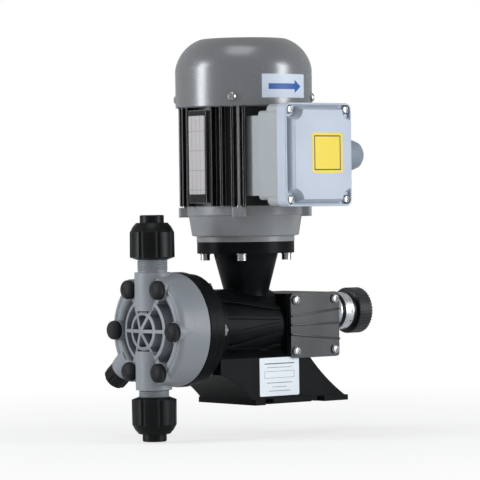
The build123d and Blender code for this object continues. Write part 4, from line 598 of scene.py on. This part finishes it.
# Dial figures: ten plain numbers with long and short marks in the rim of the dial ring, filled with
# black ink. They turn with the knob.
dial_ink = moulded_plastic("dial_ink", colour=(0.02, 0.02, 0.022), dust_and_highlight=(0.05, 0.05, 0.055),
                           dust_amount=0.2, roughness=0.6)
dial_axis_z, dial_rim_r = 0.0810, 0.0174
figure_count, figure_x, figure_height, figure_lift = 10, 0.11455, 0.0046, 0.00001
figure_half_thick, figure_weight = 0.00004, 0.00012
mark_left, long_mark_right, short_mark_right = 0.1088, 0.1122, 0.1103
mark_depth, mark_width, mark_sink, mark_merge = 0.0002, 0.00034, 0.00006, 0.000005
figures = []
for number in range(figure_count):
    turn = -2 * math.pi * number / figure_count
    reach = dial_rim_r + figure_lift
    place = (figure_x, -reach * math.cos(turn), dial_axis_z - reach * math.sin(turn))
    bpy.ops.object.select_all(action="DESELECT")
    bpy.ops.object.text_add(location=place, rotation=(math.pi / 2 + turn, 0, 0))
    figure = bpy.context.object
    figure.data.body = str(number)
    figure.data.size = figure_height
    figure.data.extrude = figure_half_thick
    figure.data.offset = figure_weight
    figure.data.align_x = "CENTER"
    figure.data.align_y = "CENTER"
    bpy.ops.object.convert(target="MESH")
    bpy.ops.object.transform_apply(location=True, rotation=True, scale=True)
    figures.append(bpy.context.object)
for steps, mark_right in ((figure_count, long_mark_right), (5 * figure_count, short_mark_right)):
    bpy.ops.object.select_all(action="DESELECT")
    place = ((mark_left + mark_right) / 2, mark_sink - dial_rim_r, dial_axis_z)
    bpy.ops.mesh.primitive_cube_add(size=1.0, location=place)
    mark = bpy.context.object
    mark.scale = (mark_right - mark_left, mark_depth, mark_width)
    bpy.ops.object.transform_apply(location=True, rotation=True, scale=True)
    bpy.ops.object.mode_set(mode="EDIT")
    bpy.ops.mesh.select_all(action="SELECT")
    bpy.ops.mesh.spin(dupli=True, steps=steps, angle=2 * math.pi, center=(0, 0, dial_axis_z),
                      axis=(1, 0, 0))
    bpy.ops.mesh.select_all(action="SELECT")
    bpy.ops.mesh.remove_doubles(threshold=mark_merge)
    bpy.ops.object.mode_set(mode="OBJECT")
    figures.append(mark)
dial_figures = joined(figures, "dial_figures")
dial_figures.data.materials.clear()
dial_figures.data.materials.append(dial_ink)
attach(dial_figures, "stroke_knob")


# Motor frame: grey cast end shields and a dark stator housing with upright cooling fins, all in
# satin enamel. Tie rods pull them together.
motor_grey = moulded_plastic("motor_grey", colour=(0.21, 0.215, 0.22), dust_and_highlight=(0.32, 0.325, 0.335),
                             dust_amount=0.25, roughness=0.3, grain=700.0, relief=0.12,
                             edge_radius=0.0009, edge_highlight_amount=0.5, gloss=0.4)
refined("drive_end_shield", motor_grey, "body")
refined("non_drive_shield", motor_grey, "body")
# The fins' rounded edges carry a strong painted highlight in light grey; the housing's own dust is
# slight.
housing_dark = moulded_plastic("housing_dark", colour=(0.004, 0.0039, 0.0037), dust_and_highlight=(0.42, 0.42, 0.43),
                               dust_amount=0.015, roughness=0.24, grain=700.0, relief=0.3,
                               edge_radius=0.0010, edge_highlight_amount=1.0, gloss=0.25)
refined("stator_housing", housing_dark, "body")


# Motor nameplate: a thin stamped aluminium plate, blank but for its ruled fields, held across the
# fins by two drive rivets.
def ruled_film(name, paper, ink, turn, cell, line, roughness, metallic):
    """A plain sheet ruled into fields by fine dark lines."""
    finish = moulded_plastic(name, colour=paper, dust_and_highlight=paper, dust_amount=0.0, roughness=roughness,
                             grain=3000.0, relief=0.05, edge_radius=0.00005, edge_highlight_amount=0.0,
                             gloss=0.35)
    tree = finish.node_tree
    skin = next(node for node in tree.nodes if node.type == "GROUP")
    place = tree.nodes.new("ShaderNodeTexCoord")
    flat = tree.nodes.new("ShaderNodeMapping")
    flat.inputs["Rotation"].default_value = turn
    tree.links.new(place.outputs["Object"], flat.inputs["Vector"])
    ruling = tree.nodes.new("ShaderNodeTexBrick")
    ruling.offset = 0.0
    ruling.inputs["Color1"].default_value = (*paper, 1)
    ruling.inputs["Color2"].default_value = (*paper, 1)
    ruling.inputs["Mortar"].default_value = (*ink, 1)
    ruling.inputs["Scale"].default_value = 1.0
    ruling.inputs["Mortar Size"].default_value = line
    ruling.inputs["Mortar Smooth"].default_value = 0.3
    ruling.inputs["Brick Width"].default_value = cell[0]
    ruling.inputs["Row Height"].default_value = cell[1]
    tree.links.new(flat.outputs["Vector"], ruling.inputs["Vector"])
    tree.links.new(ruling.outputs["Color"], skin.inputs["Colour"])
    tree.nodes["Principled BSDF"].inputs["Metallic"].default_value = metallic
    return finish


facing_left = (math.pi / 2, 0, -math.pi / 2)
plate_metal = ruled_film("plate_metal", paper=(0.36, 0.34, 0.345), ink=(0.12, 0.115, 0.12),
                         turn=(0, math.pi / 2, 0), cell=(0.0178, 0.0058), line=0.00018, roughness=0.38,
                         metallic=0.55)
plate_x, plate_y, plate_z = -0.0608, -0.00685, 0.2275
plate_width, plate_height, plate_corner, plate_thick = 0.0229, 0.0710, 0.0010, 0.0008
flat_film("motor_nameplate", (plate_x, plate_y, plate_z), plate_width, plate_height, facing_left,
          plate_metal, plate_corner, plate_thick)
rivet_x, rivet_r, rivet_dome = -0.0615, 0.0013, 0.45
for name, height in (("nameplate_rivet_top", 0.2600), ("nameplate_rivet_low", 0.1950)):
    bpy.ops.object.select_all(action="DESELECT")
    bpy.ops.mesh.primitive_uv_sphere_add(segments=20, ring_count=12, radius=rivet_r,
                                         location=(rivet_x, plate_y, height))
    rivet = bpy.context.object
    rivet.name = name
    rivet.scale = (rivet_dome, 1, 1)
    bpy.ops.object.transform_apply(location=True, rotation=True, scale=True)
    bpy.ops.object.mode_set(mode="EDIT")
    bpy.ops.mesh.select_all(action="SELECT")
    bpy.ops.mesh.bisect(plane_co=(rivet_x, 0, 0), plane_no=(1, 0, 0), clear_outer=True, use_fill=True)
    bpy.ops.object.mode_set(mode="OBJECT")
    bpy.ops.object.shade_smooth_by_angle(angle=math.radians(35))
    rivet.data.materials.append(zinc)
    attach(rivet, "body")


# Stator and rotor stacks of punched electrical sheet, windings of varnished copper wire, and the
# moulded black fan on the shaft's upper end, all inside the housing and the cowl.
lamination = worked_metal("lamination", colour=(0.3, 0.3, 0.31), shade=(0.2, 0.2, 0.21), roughness=0.4)
for name in ("stator_core", "rotor_core"):
    dress(name, lamination)
varnished_copper = worked_metal("varnished_copper", colour=(0.5, 0.2, 0.08), shade=(0.35, 0.13, 0.05),
                                roughness=0.3)
dress("stator_windings", varnished_copper)
dress("cooling_fan", fitting_black)


# Fan cowl: deep drawn steel in smooth grey enamel, slotted in its crown for the fan's air and held
# by small screws round its rim.
cowl_grey = moulded_plastic("cowl_grey", colour=(0.14, 0.145, 0.149), dust_and_highlight=(0.19, 0.195, 0.2),
                            dust_amount=0.2, roughness=0.2, grain=500.0, relief=0.06,
                            edge_radius=0.0006, edge_highlight_amount=0.3, gloss=0.8)
refined("fan_cowl", cowl_grey, "body")


# Turning arrow on the cowl: a white film wrapped round the drawn steel, with a plain blue arrow
# printed on it that shows which way the fan turns.
def wrapped_film(name, radius, low, high, start, end, finish, thick, pointed=False):
    """A thin sheet wrapped round the motor axis, brought to a point at its far end if asked."""
    bpy.ops.object.select_all(action="DESELECT")
    bpy.ops.mesh.primitive_cylinder_add(vertices=180, radius=radius, depth=high - low,
                                        end_fill_type="NOTHING", location=(0, 0, (low + high) / 2))
    film = bpy.context.object
    film.name = name
    bpy.ops.object.transform_apply(location=True, rotation=True, scale=True)
    bpy.ops.object.mode_set(mode="EDIT")
    near, far = math.radians(start), math.radians(end)
    bpy.ops.mesh.select_all(action="SELECT")
    bpy.ops.mesh.bisect(plane_co=(0, 0, 0), plane_no=(-math.sin(near), math.cos(near), 0),
                        clear_inner=True)
    bpy.ops.mesh.select_all(action="SELECT")
    bpy.ops.mesh.bisect(plane_co=(0, 0, 0), plane_no=(-math.sin(far), math.cos(far), 0),
                        clear_outer=True)
    if pointed:
        radial = Vector((math.cos(far), math.sin(far), 0))
        tip = radial * radius + Vector((0, 0, (low + high) / 2))
        for side in (high, low):
            root = Vector((radius * math.cos(near), radius * math.sin(near), side))
            cut = (root - tip).cross(radial)
            cut = cut.normalized() if (side == high) == (cut.z > 0) else -cut.normalized()
            bpy.ops.mesh.select_all(action="SELECT")
            bpy.ops.mesh.bisect(plane_co=tip, plane_no=cut, clear_outer=True, threshold=cut_tolerance)
    bpy.ops.mesh.select_all(action="SELECT")
    bpy.ops.mesh.remove_doubles(threshold=merge_distance)
    bpy.ops.object.mode_set(mode="OBJECT")
    film.modifiers.new("sheet", "SOLIDIFY").thickness = thick
    film.modifiers["sheet"].offset = 1.0
    bpy.ops.object.modifier_apply(modifier="sheet")
    bpy.ops.object.shade_smooth_by_angle(angle=math.radians(30))
    film.data.materials.append(finish)
    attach(film, "body")


film_white = printed_film("film_white", (0.62, 0.68, 0.78), (0.5, 0.55, 0.62), gloss=0.4)
film_blue = printed_film("film_blue", (0.008, 0.09, 0.36), (0.03, 0.14, 0.4), gloss=0.4)
film_r, film_thick, ink_r, ink_thick = 0.06282, 0.00012, 0.06294, 0.00006
wrapped_film("arrow_film", film_r, 0.2784, 0.2998, -114.25, -69.15, film_white, film_thick)
wrapped_film("arrow_shaft", ink_r, 0.2860, 0.2912, -108.5, -82.0, film_blue, ink_thick)
wrapped_film("arrow_head", ink_r, 0.2826, 0.2946, -82.3, -74.5, film_blue, ink_thick, pointed=True)


# Terminal box: a grey base on the side of the housing, a pale moulded lid held by four screws, and
# a grey cable gland in its side, with brass studs inside. The lid carries a blank yellow tag with a
# printed border.
box_grey = moulded_plastic("box_grey", colour=(0.34, 0.36, 0.37), dust_and_highlight=(0.42, 0.44, 0.46),
                           dust_amount=0.25, roughness=0.38, grain=900.0, relief=0.15,
                           edge_radius=0.0006, edge_highlight_amount=0.3, gloss=0.3)
refined("terminal_box_base", box_grey, "body")
# The lid's pale grey is tinted blue, partly its own colour and partly a painted reflection of a cool sky
# on its face.
lid_grey = moulded_plastic("lid_grey", colour=(0.47, 0.52, 0.60), dust_and_highlight=(0.3, 0.33, 0.38),
                           dust_amount=0.25, roughness=0.36, grain=900.0, relief=0.1,
                           edge_radius=0.0008, edge_highlight_amount=0.3, gloss=0.35)
refined("terminal_box_lid", lid_grey, "body")
tag_yellow = printed_film("tag_yellow", (0.82, 0.62, 0.03), (0.6, 0.45, 0.04), gloss=0.4)
tag_x, lid_face, tag_z = 0.0050, -0.11050, 0.2275
tag_side, tag_corner, tag_thick = 0.0360, 0.0030, 0.00012
flat_film("blank_tag", (tag_x, lid_face, tag_z), tag_side, tag_side, facing_front, tag_yellow,
          tag_corner, tag_thick)
border_face, border_out, border_corner = -0.11061, 0.0150, 0.0003
border_length, border_line = 0.0310, 0.0011
for name, across, upward in (("tag_line_top", 0, 1), ("tag_line_low", 0, -1),
                             ("tag_line_left", -1, 0), ("tag_line_right", 1, 0)):
    place = (tag_x + across * border_out, border_face, tag_z + upward * border_out)
    width, height = (border_length, border_line) if upward else (border_line, border_length)
    flat_film(name, place, width, height, facing_front, print_grey, border_corner,
              print_thick)
gland_grey = moulded_plastic("gland_grey", colour=(0.2, 0.235, 0.28), dust_and_highlight=(0.28, 0.31, 0.35),
                             dust_amount=0.2, roughness=0.4, grain=1500.0, relief=0.2,
                             edge_radius=0.0005, edge_highlight_amount=0.3, gloss=0.3)
refined("cable_gland_body", gland_grey, "body")
refined("cable_gland_nut", gland_grey, "body")
stud_brass = worked_metal("stud_brass", colour=(0.7, 0.55, 0.25), shade=(0.55, 0.42, 0.18),
                          roughness=0.2)
dress("terminal_studs", stud_brass)


# Stage: a wide pale floor that runs out into white, three soft lamps and a pale surround. None of
# it is part of the pump.
bpy.ops.object.select_all(action="DESELECT")
floor_size, floor_z = 12.0, -0.0305
bpy.ops.mesh.primitive_plane_add(size=floor_size, location=(0, 0, floor_z))
floor = bpy.context.object
floor.name = "floor"
bpy.ops.object.transform_apply(location=True, rotation=True, scale=True)
floor_white = bpy.data.materials.new("floor_white")
floor_white.use_nodes = True
tree = floor_white.node_tree
painted = tree.nodes["Principled BSDF"]
painted.inputs["Base Color"].default_value = (0.93, 0.93, 0.93, 1)
painted.inputs["Roughness"].default_value = 0.9
far_white = tree.nodes.new("ShaderNodeEmission")
far_white.inputs["Color"].default_value = (1, 1, 1, 1)
far_white.inputs["Strength"].default_value = 1.0
where = tree.nodes.new("ShaderNodeTexCoord")
distance = tree.nodes.new("ShaderNodeVectorMath")
distance.operation = "LENGTH"
tree.links.new(where.outputs["Object"], distance.inputs[0])
fade = tree.nodes.new("ShaderNodeMapRange")
fade.inputs["From Min"].default_value = 0.15
fade.inputs["From Max"].default_value = 0.75
fade.inputs["To Min"].default_value = 0.72
tree.links.new(distance.outputs["Value"], fade.inputs["Value"])
seen = tree.nodes.new("ShaderNodeLightPath")
seen_white = tree.nodes.new("ShaderNodeMath")
seen_white.operation = "MULTIPLY"
tree.links.new(seen.outputs["Is Camera Ray"], seen_white.inputs[0])
tree.links.new(fade.outputs["Result"], seen_white.inputs[1])
floor_mix = tree.nodes.new("ShaderNodeMixShader")
tree.links.new(seen_white.outputs[0], floor_mix.inputs["Fac"])
tree.links.new(painted.outputs["BSDF"], floor_mix.inputs[1])
tree.links.new(far_white.outputs["Emission"], floor_mix.inputs[2])
tree.links.new(floor_mix.outputs["Shader"], tree.nodes["Material Output"].inputs["Surface"])
floor.data.materials.append(floor_white)

world = bpy.data.worlds.new("studio")
bpy.context.scene.world = world
world.use_nodes = True
tree = world.node_tree
soft = tree.nodes["Background"]
soft.inputs["Color"].default_value = (1, 1, 1, 1)
soft.inputs["Strength"].default_value = 0.2
bright = tree.nodes.new("ShaderNodeBackground")
bright.inputs["Color"].default_value = (1, 1, 1, 1)
bright.inputs["Strength"].default_value = 1.0
ray = tree.nodes.new("ShaderNodeLightPath")
shown = tree.nodes.new("ShaderNodeMath")
shown.operation = "MAXIMUM"
tree.links.new(ray.outputs["Is Camera Ray"], shown.inputs[0])
tree.links.new(ray.outputs["Is Transmission Ray"], shown.inputs[1])
dimmed = tree.nodes.new("ShaderNodeMath")
dimmed.operation = "MULTIPLY"
dimmed.inputs[1].default_value = 0.35
tree.links.new(ray.outputs["Is Glossy Ray"], dimmed.inputs[0])
mirrored = tree.nodes.new("ShaderNodeMath")
mirrored.operation = "MAXIMUM"
tree.links.new(shown.outputs[0], mirrored.inputs[0])
tree.links.new(dimmed.outputs[0], mirrored.inputs[1])
mixed = tree.nodes.new("ShaderNodeMixShader")
tree.links.new(mirrored.outputs[0], mixed.inputs["Fac"])
tree.links.new(soft.outputs["Background"], mixed.inputs[1])
tree.links.new(bright.outputs["Background"], mixed.inputs[2])
tree.links.new(mixed.outputs["Shader"], tree.nodes["World Output"].inputs["Surface"])


pump_middle = Vector((0, 0, 0.16))


def soft_lamp(name, place, size, power):
    """A rectangular soft lamp aimed at the middle of the pump."""
    lamp = bpy.data.lights.new(name, "AREA")
    lamp.shape = "RECTANGLE"
    lamp.size, lamp.size_y = size
    lamp.energy = power
    lamp.color = (0.93, 0.965, 1.0)
    thing = bpy.data.objects.new(name, lamp)
    bpy.context.scene.collection.objects.link(thing)
    thing.location = place
    aim = pump_middle - Vector(place)
    thing.rotation_euler = aim.to_track_quat("-Z", "Y").to_euler()


soft_lamp("left_lamp", (-2.1, 0.95, 0.55), (0.6, 1.8), 50.0)
soft_lamp("right_lamp", (1.2, -2.1, 0.6), (0.7, 1.5), 46.0)
soft_lamp("top_lamp", (-0.5, -0.4, 2.4), (1.2, 1.2), 14.0)


# Camera: a long lens a little above the pump's middle, looking from the front left and almost
# level.
lens = bpy.data.cameras.new("camera")
lens.sensor_width = 36.0
lens.lens = 225.94
lens.clip_end = 50.0
camera = bpy.data.objects.new("camera", lens)
bpy.context.scene.collection.objects.link(camera)
yaw, pitch, roll = 0.6866, -0.0113, -0.0132
camera_place = (-1.7611, -2.1405, 0.181)
ahead = Vector((math.sin(yaw) * math.cos(pitch), math.cos(yaw) * math.cos(pitch), math.sin(pitch)))
level = Vector((math.cos(yaw), -math.sin(yaw), 0))
rise = level.cross(ahead)
right = level * math.cos(roll) + rise * math.sin(roll)
up = -level * math.sin(roll) + rise * math.cos(roll)
turn = Matrix((right, up, -ahead)).transposed().to_4x4()
camera.matrix_world = Matrix.Translation(camera_place) @ turn
bpy.context.scene.camera = camera
bpy.context.scene.view_settings.view_transform = "Standard"
